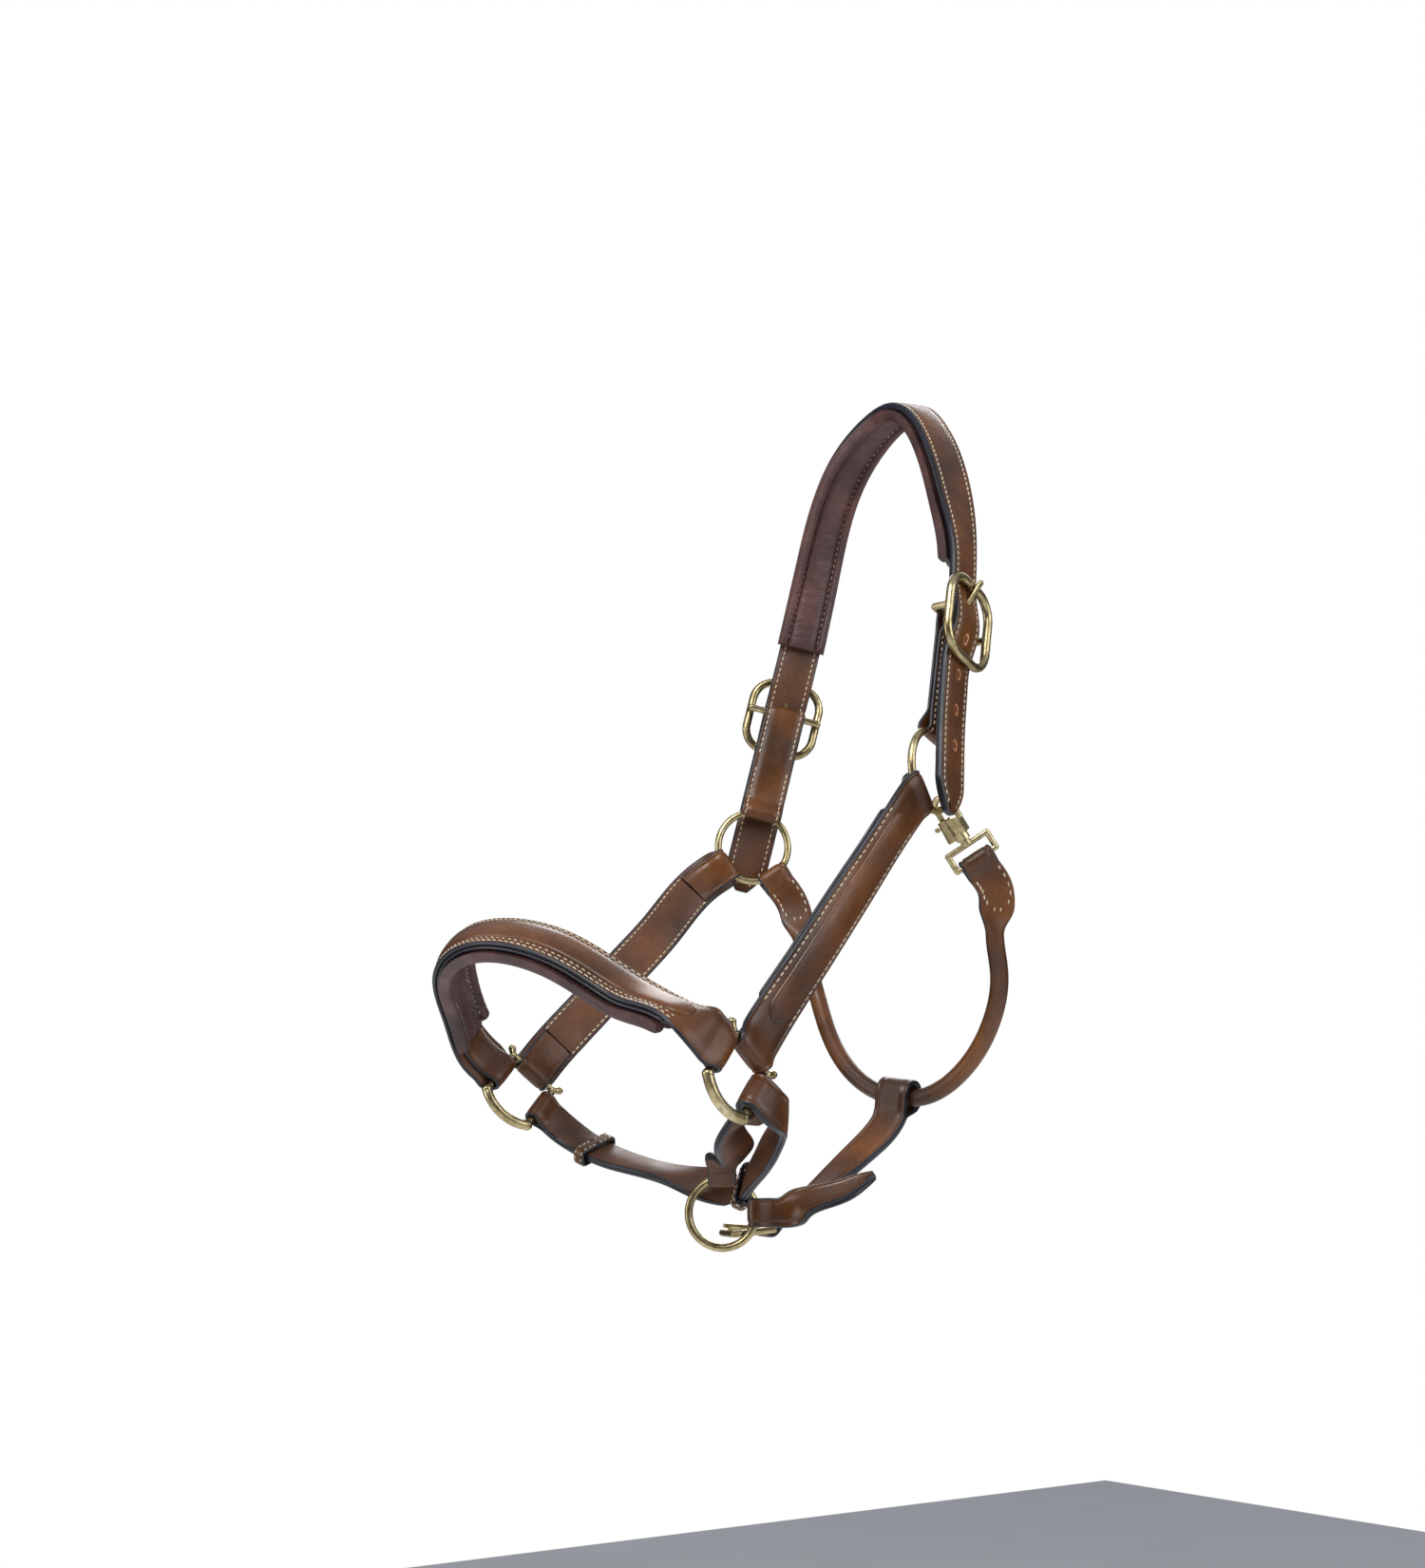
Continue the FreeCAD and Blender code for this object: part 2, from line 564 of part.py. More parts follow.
def keeper(route, distance, width, thickness, gap):
    """A leather loop round a strap."""
    where = route.frame(distance)
    w, h = width / 2 + gap, thickness / 2 + gap
    along = (-KEEPER_WIDTH / 2, KEEPER_WIDTH / 2)
    outer = block(where, along, (-h - KEEPER_THICKNESS, h + KEEPER_THICKNESS),
                  (-w - KEEPER_THICKNESS, w + KEEPER_THICKNESS))
    return outer.cut(block(where, (-KEEPER_WIDTH, KEEPER_WIDTH), (-h, h), (-w, w)))


# Far chin strap: from the far square to the back of the tie ring's top.
far_chin_bar = square_bar(far_square, (0, FAR_REAR), BOTTOM)
far_chin_route = Route([
    (far_chin_bar.at(-8.0), far_chin_bar.outward), (far_chin_bar.at(-14.0), far_chin_bar.outward),
    (V(-62, -157, -409), V(-0.72, 0.1, -0.68)), (tie_ring.at(18, -14.5, -22), V(-0.45, 0.25, -0.86)),
    (tie_ring.at(14, -10.5, -8), V(-0.72, 0.45, -0.5)), (tie_ring.at(12, -7.8, 7), -tie_ring.outward)])
far_chin_fold = fold(far_chin_bar, CHIN_WIDTH, -CHIN_HALF, CHIN_HALF, 9.0, SQUARE_BAR)
write("far_chin_strap", join([far_chin_fold,
                              ribbon(far_chin_route, CHIN_WIDTH, -CHIN_HALF, CHIN_HALF, step=6.0)]))
write("far_chin_keeper", keeper(far_chin_route, 30.0, CHIN_WIDTH, CHIN_THICKNESS, KEEPER_GAP))

# Near chin strap: folded round the top of the tie ring, through the near square and back.
near_chin_bar = square_bar(near_square, (0, NEAR_REAR), BOTTOM)
wrap_inner = SQUARE_BAR + FIT_GAP
wrap_centre = wrap_inner + CHIN_HALF
inner_leg = Route([
    (tie_top.at(-8.0), tie_top.outward), (tie_top.at(-14.0), tie_top.outward),
    (V(50, -152.7, -409), V(-0.6, -0.4, 0.7)), (V(74, -168, -398), V(-0.85, -0.4, 0.3)),
    (near_chin_bar.at(-7.0, -wrap_centre), -near_chin_bar.outward),
    (near_chin_bar.at(0.0, -wrap_centre), -near_chin_bar.outward)])
outer_leg = Route([
    (near_chin_bar.at(0.0, wrap_centre), near_chin_bar.outward),
    (near_chin_bar.at(-8.0, wrap_centre + 1.0), near_chin_bar.outward),
    (V(83, -148.5, -396), V(0.7, 0.6, 0)), (V(66, -143, -406), V(0.5, 0.85, 0)),
    (V(40, -135, -417.5), V(0.47, 0.84, -0.2)), (V(17, -127.5, -427), V(0.45, 0.83, -0.34))])
tie_fold = fold(tie_top, TIE_END_WIDTH, -CHIN_HALF, CHIN_HALF, 9.0, WIRE, tie_slot)
sweep = Part.makeCylinder(wrap_centre + CHIN_HALF, CHIN_WIDTH, V(0, 0, -CHIN_WIDTH / 2), V(0, 0, 1))
sweep = sweep.cut(Part.makeCylinder(wrap_inner, CHIN_WIDTH, V(0, 0, -CHIN_WIDTH / 2), V(0, 0, 1)))
wrap = near_chin_bar.place(sweep.common(Part.makeBox(20, 20, 40, V(-0.5, -10, -20))))
inner = ribbon(inner_leg, CHIN_WIDTH, -CHIN_HALF, CHIN_HALF, step=4.0, first=TIE_END_WIDTH)
outer = ribbon(outer_leg, CHIN_WIDTH, -CHIN_HALF, CHIN_HALF, step=4.0)
write("near_chin_strap", join([tie_fold, wrap, inner, outer]).cut(tie_room))
write("near_chin_keeper", keeper(outer_leg, outer_leg.length - 4.5, CHIN_WIDTH, CHIN_THICKNESS, 0.5))

# Billet: folded round the back of the tie ring, its pointed tail lies free over the jowl strap.
billet_route = Route([
    (tie_rear.at(-8.0), tie_ring.outward), (tie_rear.at(-13.0), tie_ring.outward),
    (tie_ring.at(5, 5, 42), V(0.43, -0.6, 0.67)), (tie_ring.at(9, 11, 56), V(0.25, -0.5, 0.83)),
    (tie_ring.at(17, 18, 73), V(0.23, -0.46, 0.86))])


def chin_billet():
    tip = billet_route.frame(billet_route.length)
    shape = join([fold(tie_rear, TIE_END_WIDTH, -CHIN_HALF, CHIN_HALF, 9.0, WIRE, tie_slot),
                  ribbon(billet_route, CHIN_WIDTH, -CHIN_HALF, CHIN_HALF, step=4.0,
                         first=TIE_END_WIDTH)]).cut(tie_room)
    for side in (-1, 1):
        corner = [tip.at(1, -6, side * 2.5), tip.at(1, -6, side * 12.0), tip.at(-12.0, -6, side * 12.0)]
        shape = shape.cut(Part.Face(Part.makePolygon(corner + corner[:1])).extrude(tip.outward * 12.0))
    return shape


write("chin_billet", chin_billet())


# ---------------------------------------------------------------- jowl strap and its buckle

CHIN_BUCKLE_LENGTH = 20.0
CHIN_BUCKLE_HALF = 11.6
CHIN_BUCKLE_WIRE = 1.7
chin_buckle = Frame(V(-5, -99, -446), V(-0.25, -0.96, -0.1), V(0, -0.1, 1))


def chin_buckle_frame():
    """A small square frame with its bar at the heel."""
    length, half, wire = CHIN_BUCKLE_LENGTH, CHIN_BUCKLE_HALF, CHIN_BUCKLE_WIRE
    corners = [V(0, 0, -half), V(length - 3, 0, -half), V(length, 0, 3 - half), V(length, 0, half - 3),
               V(length - 3, 0, half),
               V(0, 0, half)]
    loop = rounded_rod(corners + corners[:1], wire)
    return chin_buckle.place(loop.fuse(Part.makeSphere(wire, corners[0])))


def chin_buckle_tongue():
    eye = Part.makeCylinder(3.1, 3.6, V(0, 0, -1.8), V(0, 0, 1))
    pin = rod(V(0, 0, 0), V(21.0, 3.9, 0), 1.2).fuse(Part.makeSphere(1.2, V(21.0, 3.9, 0)))
    bore = Part.makeCylinder(CHIN_BUCKLE_WIRE + 0.08, 6.0, V(0, 0, -3), V(0, 0, 1))
    return chin_buckle.place(join([eye, pin]).cut(bore))


write("chin_buckle_frame", chin_buckle_frame())
write("chin_buckle_tongue", chin_buckle_tongue())

roll_way = (ROLL_POINTS[4] - ROLL_POINTS[5]).normalize()
jowl_tip = V(0, 0.6, 0.8)
jowl_tip = jowl_tip - roll_way * jowl_tip.dot(roll_way)
jowl_wrap = Frame((ROLL_POINTS[4] + ROLL_POINTS[5]) * 0.5, jowl_tip, roll_way.cross(jowl_tip))
jowl_inner = ROLL_RADIUS + 1.8
jowl_centre = jowl_inner + CHIN_HALF
jowl_down = Frame(chin_buckle.origin, chin_buckle.along + V(0, 0, -0.5), chin_buckle.outward)
jowl_route = Route([
    (jowl_wrap.at(-9, 0), jowl_wrap.outward), (jowl_wrap.at(-17, 0), jowl_wrap.outward),
    (V(2, -43, -408), V(0.35, -0.6, 0.7)), (V(0, -60, -421), V(0.2, -0.6, 0.8)),
    (jowl_down.at(-16.0), jowl_down.outward), (jowl_down.at(-8.0), jowl_down.outward)])


def jowl_strap():
    top = fold(jowl_wrap, CHIN_WIDTH, -CHIN_HALF, CHIN_HALF, 13.0, jowl_inner - FIT_GAP, 0.0,
               CHIN_THICKNESS * 0.8)
    bottom = fold(jowl_down, CHIN_WIDTH, -CHIN_HALF, CHIN_HALF, 9.0, CHIN_BUCKLE_WIRE)
    window = block(jowl_down, (-6.5, 8.0), (-8.0, 8.0), (-2.2, 2.2))
    return join([top, ribbon(jowl_route, CHIN_WIDTH, -CHIN_HALF, CHIN_HALF, step=6.0), bottom]).cut(window)


write("jowl_strap", jowl_strap())
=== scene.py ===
import json
import math

import bmesh
import bpy
import numpy as np
from mathutils import Matrix, Vector


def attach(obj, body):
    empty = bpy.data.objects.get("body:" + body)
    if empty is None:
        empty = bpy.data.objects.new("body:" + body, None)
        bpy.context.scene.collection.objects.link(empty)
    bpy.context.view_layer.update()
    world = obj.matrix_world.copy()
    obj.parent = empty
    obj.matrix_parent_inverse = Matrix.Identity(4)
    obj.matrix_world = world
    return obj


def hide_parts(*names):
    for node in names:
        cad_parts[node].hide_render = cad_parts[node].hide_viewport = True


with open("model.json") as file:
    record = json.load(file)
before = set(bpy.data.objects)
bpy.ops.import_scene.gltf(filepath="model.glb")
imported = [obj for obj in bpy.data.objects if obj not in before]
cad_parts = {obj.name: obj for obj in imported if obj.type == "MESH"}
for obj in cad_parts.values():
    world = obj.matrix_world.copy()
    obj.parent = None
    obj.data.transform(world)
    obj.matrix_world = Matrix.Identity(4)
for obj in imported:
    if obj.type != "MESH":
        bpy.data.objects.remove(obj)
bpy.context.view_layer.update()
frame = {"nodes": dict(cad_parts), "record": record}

# The looks of a padded leather headcollar. Lengths are in millimetres until a mesh is made.
MM = 0.001
ROOT = "straps"


# ---------------------------------------------------------------- materials

def node_material(name, roughness, metallic=0.0):
    material = bpy.data.materials.new(name)
    material.use_nodes = True
    shader = material.node_tree.nodes["Principled BSDF"]
    shader.inputs["Roughness"].default_value = roughness
    shader.inputs["Metallic"].default_value = metallic
    return material, material.node_tree, shader


def noise(tree, scale, detail=6.0, roughness=0.55, stretch=(1, 1, 1)):
    """3-D noise in object space, scale in features per metre."""
    place = tree.nodes.new("ShaderNodeTexCoord")
    mapping = tree.nodes.new("ShaderNodeMapping")
    mapping.inputs["Scale"].default_value = stretch
    texture = tree.nodes.new("ShaderNodeTexNoise")
    texture.inputs["Scale"].default_value = scale
    texture.inputs["Detail"].default_value = detail
    texture.inputs["Roughness"].default_value = roughness
    tree.links.new(place.outputs["Object"], mapping.inputs["Vector"])
    tree.links.new(mapping.outputs["Vector"], texture.inputs["Vector"])
    return texture.outputs["Fac"]


def cells(tree, scale):
    place = tree.nodes.new("ShaderNodeTexCoord")
    texture = tree.nodes.new("ShaderNodeTexVoronoi")
    texture.inputs["Scale"].default_value = scale
    tree.links.new(place.outputs["Object"], texture.inputs["Vector"])
    return texture.outputs["Distance"]


def ramp(tree, value, stops):
    """Maps a value to colours (r, g, b) or greys at positions."""
    node = tree.nodes.new("ShaderNodeValToRGB")
    elements = node.color_ramp.elements
    while len(elements) < len(stops):
        elements.new(0.5)
    for element, (position, colour) in zip(elements, stops):
        element.position = position
        element.color = (*colour, 1) if isinstance(colour, tuple) else (colour, colour, colour, 1)
    tree.links.new(value, node.inputs["Fac"])
    return node.outputs["Color"]


def mix(tree, factor, a, b, blend="MIX"):
    node = tree.nodes.new("ShaderNodeMix")
    node.data_type = "RGBA"
    node.blend_type = blend
    for name, value in (("Factor", factor), ("A", a), ("B", b)):
        socket = node.inputs[name]
        if isinstance(value, bpy.types.NodeSocket):
            tree.links.new(value, socket)
        elif isinstance(value, tuple):
            socket.default_value = (*value, 1)
        else:
            socket.default_value = value
    return node.outputs["Result"]


def bump(tree, shader, layers):
    """Stacks bump layers of (height socket, strength, depth in metres) on the shader's normal."""
    normal = None
    for height, strength, depth in layers:
        node = tree.nodes.new("ShaderNodeBump")
        node.inputs["Strength"].default_value = strength
        node.inputs["Distance"].default_value = depth
        tree.links.new(height, node.inputs["Height"])
        if normal is not None:
            tree.links.new(normal, node.inputs["Normal"])
        normal = node.outputs["Normal"]
    tree.links.new(normal, shader.inputs["Normal"])


def linear(*srgb):
    """sRGB 0-255 to linear colour."""
    return tuple((c / 255 / 12.92) if c < 10.3 else ((c / 255 + 0.055) / 1.055) ** 2.4 for c in srgb)


def leather(name, dark, middle, light, roughness, grain=0.35, mottling=26.0, wrinkled=False):
    material, tree, shader = node_material(name, roughness)
    broad = ramp(tree, noise(tree, mottling, 5), [(0.32, dark), (0.5, middle), (0.7, light)])
    fine = ramp(tree, noise(tree, 420, 4), [(0.3, 0.72), (0.62, 1.0)])
    tree.links.new(mix(tree, 0.7, broad, fine, "MULTIPLY"), shader.inputs["Base Color"])
    worn = ramp(tree, noise(tree, 60, 4), [(0.3, roughness * 0.8), (0.7, min(1.0, roughness * 1.3))])
    tree.links.new(worn, shader.inputs["Roughness"])
    layers = [(cells(tree, 1500), grain, 0.00008), (noise(tree, 160, 5), grain, 0.0003)]
    if wrinkled:
        layers.append((noise(tree, 90, 4, stretch=(1, 1, 6)), 0.7, 0.0012))
    bump(tree, shader, layers)
    shader.inputs["Specular IOR Level"].default_value = 0.5
    shader.inputs["Coat Weight"].default_value = 0.12
    shader.inputs["Coat Roughness"].default_value = 0.3
    return material


def brass_material():
    material, tree, shader = node_material("antique_brass_look", 0.3, 1.0)
    tone = ramp(tree, noise(tree, 70, 6), [
        (0.3, linear(140, 124, 88)), (0.52, linear(196, 180, 136)), (0.75, linear(222, 208, 168))])
    spots = ramp(tree, noise(tree, 260, 5), [(0.35, linear(120, 100, 66)), (0.55, (1.0, 1.0, 1.0))])
    tree.links.new(mix(tree, 0.45, tone, spots, "MULTIPLY"), shader.inputs["Base Color"])
    tree.links.new(ramp(tree, noise(tree, 120, 4), [(0.3, 0.2), (0.7, 0.4)]), shader.inputs["Roughness"])
    bump(tree, shader, [(noise(tree, 300, 4), 0.12, 0.0002), (noise(tree, 1400, 3), 0.15, 0.00005)])
    return material


def thread_material():
    material, tree, shader = node_material("thread_look", 0.75)
    tone = ramp(tree, noise(tree, 300, 4), [(0.3, linear(176, 160, 134)), (0.6, linear(222, 208, 184))])
    tree.links.new(tone, shader.inputs["Base Color"])
    bump(tree, shader, [(noise(tree, 2600, 2, stretch=(1, 1, 3)), 0.5, 0.0001)])
    shader.inputs["Sheen Weight"].default_value = 0.2
    return material


def steel_material():
    material, tree, shader = node_material("spring_steel_look", 0.35, 1.0)
    tree.links.new(ramp(tree, noise(tree, 200), [(0.3, 0.4), (0.7, 0.6)]), shader.inputs["Base Color"])
    return material


FACE = leather("strap_leather_look", linear(62, 33, 8), linear(92, 51, 13), linear(120, 70, 22), 0.38)
EDGE = leather("burnished_edge_look", linear(16, 16, 22), linear(26, 27, 37), linear(44, 44, 56), 0.38,
               grain=0.25)
FLESH = leather("flesh_side_look", linear(62, 34, 14), linear(88, 50, 22), linear(114, 66, 30), 0.55,
                grain=0.5)
LINING = leather("padded_lining_look", linear(62, 38, 38), linear(84, 52, 50), linear(108, 70, 66), 0.48,
                 grain=0.45, mottling=40.0, wrinkled=True)
HOLE = leather("bare_hole_look", linear(150, 92, 56), linear(190, 122, 80), linear(214, 150, 104), 0.7)
BRASS = brass_material()
THREAD = thread_material()
STEEL = steel_material()

# The materials of cut leather, and their numbers in a mesh made with them.
CUT_LEATHER = (FACE, EDGE, FLESH)
TOP, RIM, BACK = 0, 1, 2


# ---------------------------------------------------------------- frames and routes, as in the design

def V(x, y, z):
    return np.array([x, y, z], float)


def unit(v):
    return v / np.linalg.norm(v)


class Frame:
    """A right-handed local frame: origin, along, outward and across = along x outward."""

    def __init__(self, origin, along, outward):
        self.origin = np.array(origin, float)
        self.along = unit(np.array(along, float))
        outward = np.array(outward, float)
        self.outward = unit(outward - self.along * outward.dot(self.along))
        self.across = np.cross(self.along, self.outward)

    def at(self, along, outward=0.0, across=0.0):
        return self.origin + self.along * along + self.outward * outward + self.across * across

    def moved(self, along=0.0, outward=0.0, across=0.0):
        return Frame(self.at(along, outward, across), self.along, self.outward)


def spline(knots, points):
    """A smooth curve through points at the knots, as a function of distance."""
    knots, points = np.array(knots, float), np.array(points, float)
    n = len(knots)
    step = np.diff(knots)
    slope = np.diff(points, axis=0) / step[:, None]
    rows, right = np.zeros((n, n)), np.zeros((n, points.shape[1]))
    for i in range(1, n - 1):
        rows[i, i - 1], rows[i, i], rows[i, i + 1] = step[i], 2 * (step[i - 1] + step[i]), step[i - 1]
        right[i] = 3 * (step[i] * slope[i - 1] + step[i - 1] * slope[i])
    rows[0, 0] = rows[-1, -1] = 1.0
    right[0] = slope[0] + (slope[0] - slope[1]) * step[0] / (step[0] + step[1])
    right[-1] = slope[-1] + (slope[-1] - slope[-2]) * step[-1] / (step[-1] + step[-2])
    tangents = np.linalg.solve(rows, right)

    def value(distance):
        i = int(min(max(np.searchsorted(knots, distance) - 1, 0), n - 2))
        h = step[i]
        t = (distance - knots[i]) / h
        return ((2 * t ** 3 - 3 * t ** 2 + 1) * points[i] + (t ** 3 - 2 * t ** 2 + t) * h * tangents[i]
                + (3 * t ** 2 - 2 * t ** 3) * points[i + 1] + (t ** 3 - t ** 2) * h * tangents[i + 1])
    return value


class Route:
    """A smooth line with a face direction, through stations of (point, outward)."""

    def __init__(self, stations):
        points = [np.array(p, float) for p, n in stations]
        rail = [np.array(p, float) + unit(np.array(n, float)) * 10.0 for p, n in stations]
        self.knots = [0.0]
        for a, b in zip(points, points[1:]):
            self.knots.append(self.knots[-1] + np.linalg.norm(b - a))
        self.line, self.rail = spline(self.knots, points), spline(self.knots, rail)
        self.length = self.knots[-1]

    def frame(self, distance):
        point = self.line(distance)
        along = self.line(distance + 0.05) - self.line(distance - 0.05)
        return Frame(point, along, self.rail(distance) - point)


def samples(route, start, stop, lift=0.0, step=2.5):
    """(point, outward) along a route, lifted off it."""
    count = max(2, math.ceil((stop - start) / step))
    found = []
    for i in range(count + 1):
        f = route.frame(start + (stop - start) * i / count)
        found.append((f.at(0, lift), f.outward))
    return found


def ease(t):
    """Rises smoothly from 0 at t = 0 to 1 at t = 1, and stays level outside."""
    t = min(1.0, max(0.0, t))
    return t * t * (3 - 2 * t)


LEG_STEPS, BEND_STEPS, FLAP_STEPS = 5, 12, 4


def turn(bar, radius, lift, reach, flap=0.0, back=None):
    """The path of a ply round a bar: along the front to the bar, round it, and back, then on as a flap."""
    back = lift if back is None else back
    path = []
    for i in range(LEG_STEPS):
        t = i / LEG_STEPS
        path.append((bar.at(-reach * (1 - t), lift + (radius - lift) * ease(t)), bar.outward))
    for i in range(BEND_STEPS + 1):
        angle = math.pi / 2 - math.pi * i / BEND_STEPS
        way = bar.along * math.cos(angle) + bar.outward * math.sin(angle)
        path.append((bar.origin + way * radius, way))
    for i in range(1, LEG_STEPS + 1):
        t = i / LEG_STEPS
        path.append((bar.at(-reach * t, -(radius + (back - radius) * ease(t))), -bar.outward))
    if flap:
        for i in range(1, FLAP_STEPS + 1):
            path.append((bar.at(-reach - flap * i / FLAP_STEPS, -back), -bar.outward))
    return path


def flipped(path):
    """The same line with its face directions turned over."""
    return [(point, -outward) for point, outward in path]


def distances(path):
    found = [0.0]
    for (a, _), (b, _) in zip(path, path[1:]):
        found.append(found[-1] + float(np.linalg.norm(b - a)))
    return found


def frames(path):
    """A frame at each point of a path."""
    found = []
    for i, (point, outward) in enumerate(path):
        before, after = path[max(i - 1, 0)][0], path[min(i + 1, len(path) - 1)][0]
        found.append(Frame(point, after - before, outward))
    return found


# ---------------------------------------------------------------- meshes

class Build:
    """Collects faces with material numbers, then makes one object."""

    def __init__(self, *materials):
        self.materials = materials
        self.points, self.faces, self.kinds = [], [], []

    def ring_of(self, points):
        start = len(self.points)
        self.points += [tuple(p) for p in points]
        return list(range(start, start + len(points)))

    def bridge(self, a, b, kinds):
        n = len(a)
        for i in range(n):
            j = (i + 1) % n
            self.faces.append((a[i], a[j], b[j], b[i]))
            self.kinds.append(kinds[i])

    def cap(self, ring, kind, flip):
        self.faces.append(tuple(ring[::-1] if flip else ring))
        self.kinds.append(kind)

    def sweep(self, path, section, kinds, end_kind=RIM):
        """Sweeps section(distance, total) -> [(across, outward)] along a path. kinds may be a function."""
        total = distances(path)
        rings = []
        for i, f in enumerate(frames(path)):
            rings.append(self.ring_of([f.at(0, y, x) for x, y in section(total[i], total[-1])]))
        for i, (a, b) in enumerate(zip(rings, rings[1:])):
            self.bridge(a, b, kinds(i) if callable(kinds) else kinds)
        self.cap(rings[0], end_kind, True)
        self.cap(rings[-1], end_kind, False)

    def piece(self, name, replaces=(), slot="strap_leather", body=ROOT, smooth=40.0):
        mesh = bpy.data.meshes.new(name)
        mesh.from_pydata([tuple(c * MM for c in p) for p in self.points], [], self.faces)
        for material in self.materials:
            mesh.materials.append(material)
        mesh.polygons.foreach_set("material_index", self.kinds)
        mesh.polygons.foreach_set("use_smooth", [True] * len(self.faces))
        mesh.update()
        mesh.validate()
        thing = bpy.data.objects.new(name, mesh)
        bpy.context.scene.collection.objects.link(thing)
        recalculate(thing)
        mesh.set_sharp_from_angle(angle=math.radians(smooth))
        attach(thing, body)
        if replaces:
            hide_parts(*replaces)
        return thing


def recalculate(thing):
    """Points every face outwards."""
    shape = bmesh.new()
    shape.from_mesh(thing.data)
    bmesh.ops.recalc_face_normals(shape, faces=shape.faces)
    shape.to_mesh(thing.data)
    shape.free()


def strap_section(width, thickness, crown=0.35, groove=3.0):
    """Outline of one ply or strap: rounded edges, a crowned face, and a sunk line for the stitches."""
    w, h = width / 2, thickness / 2
    r = min(0.9, h * 0.9)
    notch = 0.35 if thickness > 3 else 0.0
    right = [(w - notch, 0), (w, notch + 0.05), (w - 0.25 * r, h - 0.5 * r), (w - r, h)]
    if groove:
        seam = w - groove
        right += [(seam + 0.9, h + 0.06), (seam + 0.25, h - 0.28), (seam - 0.25, h - 0.28),
                  (seam - 0.9, h + 0.12)]
    right += [(w * 0.45, h + crown * 0.8)]
    top = right + [(0, h + crown)] + [(-x, y) for x, y in right[::-1]]
    bottom = [(-w, -notch - 0.05), (-w + 0.25 * r, -h + 0.5 * r), (-w + r, -h), (0, -h), (w - r, -h),
              (w - 0.25 * r, -h + 0.5 * r), (w, -notch - 0.05)]
    kinds = [RIM] * 3 + [TOP] * (len(top) - 7) + [RIM] * 6 + [BACK] * 2 + [RIM] * 3
    return top + bottom, kinds


TIP_POWER = 1.6


def ply(build, path, width, thickness, groove=3.0, crown=0.3, tip=None, start_tip=None):
    """Sweeps a ply along a path. tip and start_tip are (length, end width) of a pointed or narrowed end."""
    _, kinds = strap_section(10.0, thickness, crown, groove)

    def section(distance, total):
        wide = width(distance, total) if callable(width) else width
        if tip:
            t = max(0.0, 1 - (total - distance) / tip[0])
            wide -= (wide - tip[1]) * t ** TIP_POWER
        if start_tip:
            t = max(0.0, 1 - distance / start_tip[0])
            wide -= (wide - start_tip[1]) * t ** TIP_POWER
        return strap_section(wide, thickness, crown, groove)[0]

    build.sweep(path, section, kinds)


# The rings of one stitch: place along it, radius and lift, as shares of the stitch's length and radius.
STITCH_RINGS = ((-0.5, 0.45, -0.5), (-0.34, 0.9, 0.1), (0, 1.0, 0.35), (0.34, 0.9, 0.1), (0.5, 0.45, -0.5))
STITCH_SIDES, STITCH_SLANT = 6, 0.4


def stitch(build, place, height, shift, length, radius):
    """One slim bead of thread along a frame, slanted a little."""
    rings = []
    for s, r, lift in STITCH_RINGS:
        ring = []
        for q in range(STITCH_SIDES):
            angle = math.tau * q / STITCH_SIDES
            ring.append(place.at(s * length, height + (lift + r * math.sin(angle)) * radius,
                                 shift + s * STITCH_SLANT * radius + r * radius * math.cos(angle)))
        rings.append(build.ring_of(ring))
    for a, b in zip(rings, rings[1:]):
        build.bridge(a, b, [0] * STITCH_SIDES)
    build.cap(rings[0], 0, True)
    build.cap(rings[-1], 0, False)


def frame_along(line, total, where):
    """The frame at a distance along a line of frames whose distances are total."""
    i = min(max(int(np.searchsorted(total, where)), 1), len(line) - 1)
    t = (where - total[i - 1]) / max(1e-6, total[i] - total[i - 1])
    a, b = line[i - 1], line[i]
    return Frame(a.origin + (b.origin - a.origin) * t, b.along, a.outward + (b.outward - a.outward) * t)


def stitches(name, rows, pitch=3.4, length=2.6, radius=0.4, body=ROOT):
    """Thread along rows of (path, offset across, height, start, stop). A negative stop is from the end."""
    build = Build(THREAD)
    for path, offset, height, start, stop in rows:
        total = distances(path)
        stop = total[-1] + stop if stop < 0 else stop
        line = frames(path)
        count = max(1, int((stop - start) / pitch))
        for k in range(count):
            where = start + (k + 0.5) * (stop - start) / count
            shift = offset(where, total[-1]) if callable(offset) else offset
            stitch(build, frame_along(line, total, where), height, shift, length, radius)
    build.piece(name, slot=None, body=body, smooth=80.0)


# ---------------------------------------------------------------- sizes and places, as in the design

STRAP_WIDTH, STRAP_THICKNESS = 24.0, 4.6
END_WIDTH, NOSEBAND_WIDTH, CHIN_WIDTH, THROAT_END_WIDTH = 19.2, 28.0, 18.8, 18.0
PLY, FIT_GAP, WIRE, SQUARE_BAR = 1.9, 0.35, 2.0, 1.8
RING_RADIUS, TIE_RING_RADIUS = 20.0, 16.5
SQUARE_SIDE = 27.6
CROWN_TAIL, BAR_TO_RING, RING_DROP, HOLE_PITCH = 106.0, 81.5, 4.15, 20.0
LINING_EXTRA, LINING_THICKNESS = 4.0, 6.0
# How far back from a bar a fold closes, the straight stretch beyond it, and the same reach on narrow straps.
REACH, LEAD, SHORT_REACH = 9.0, 3.0, 8.0

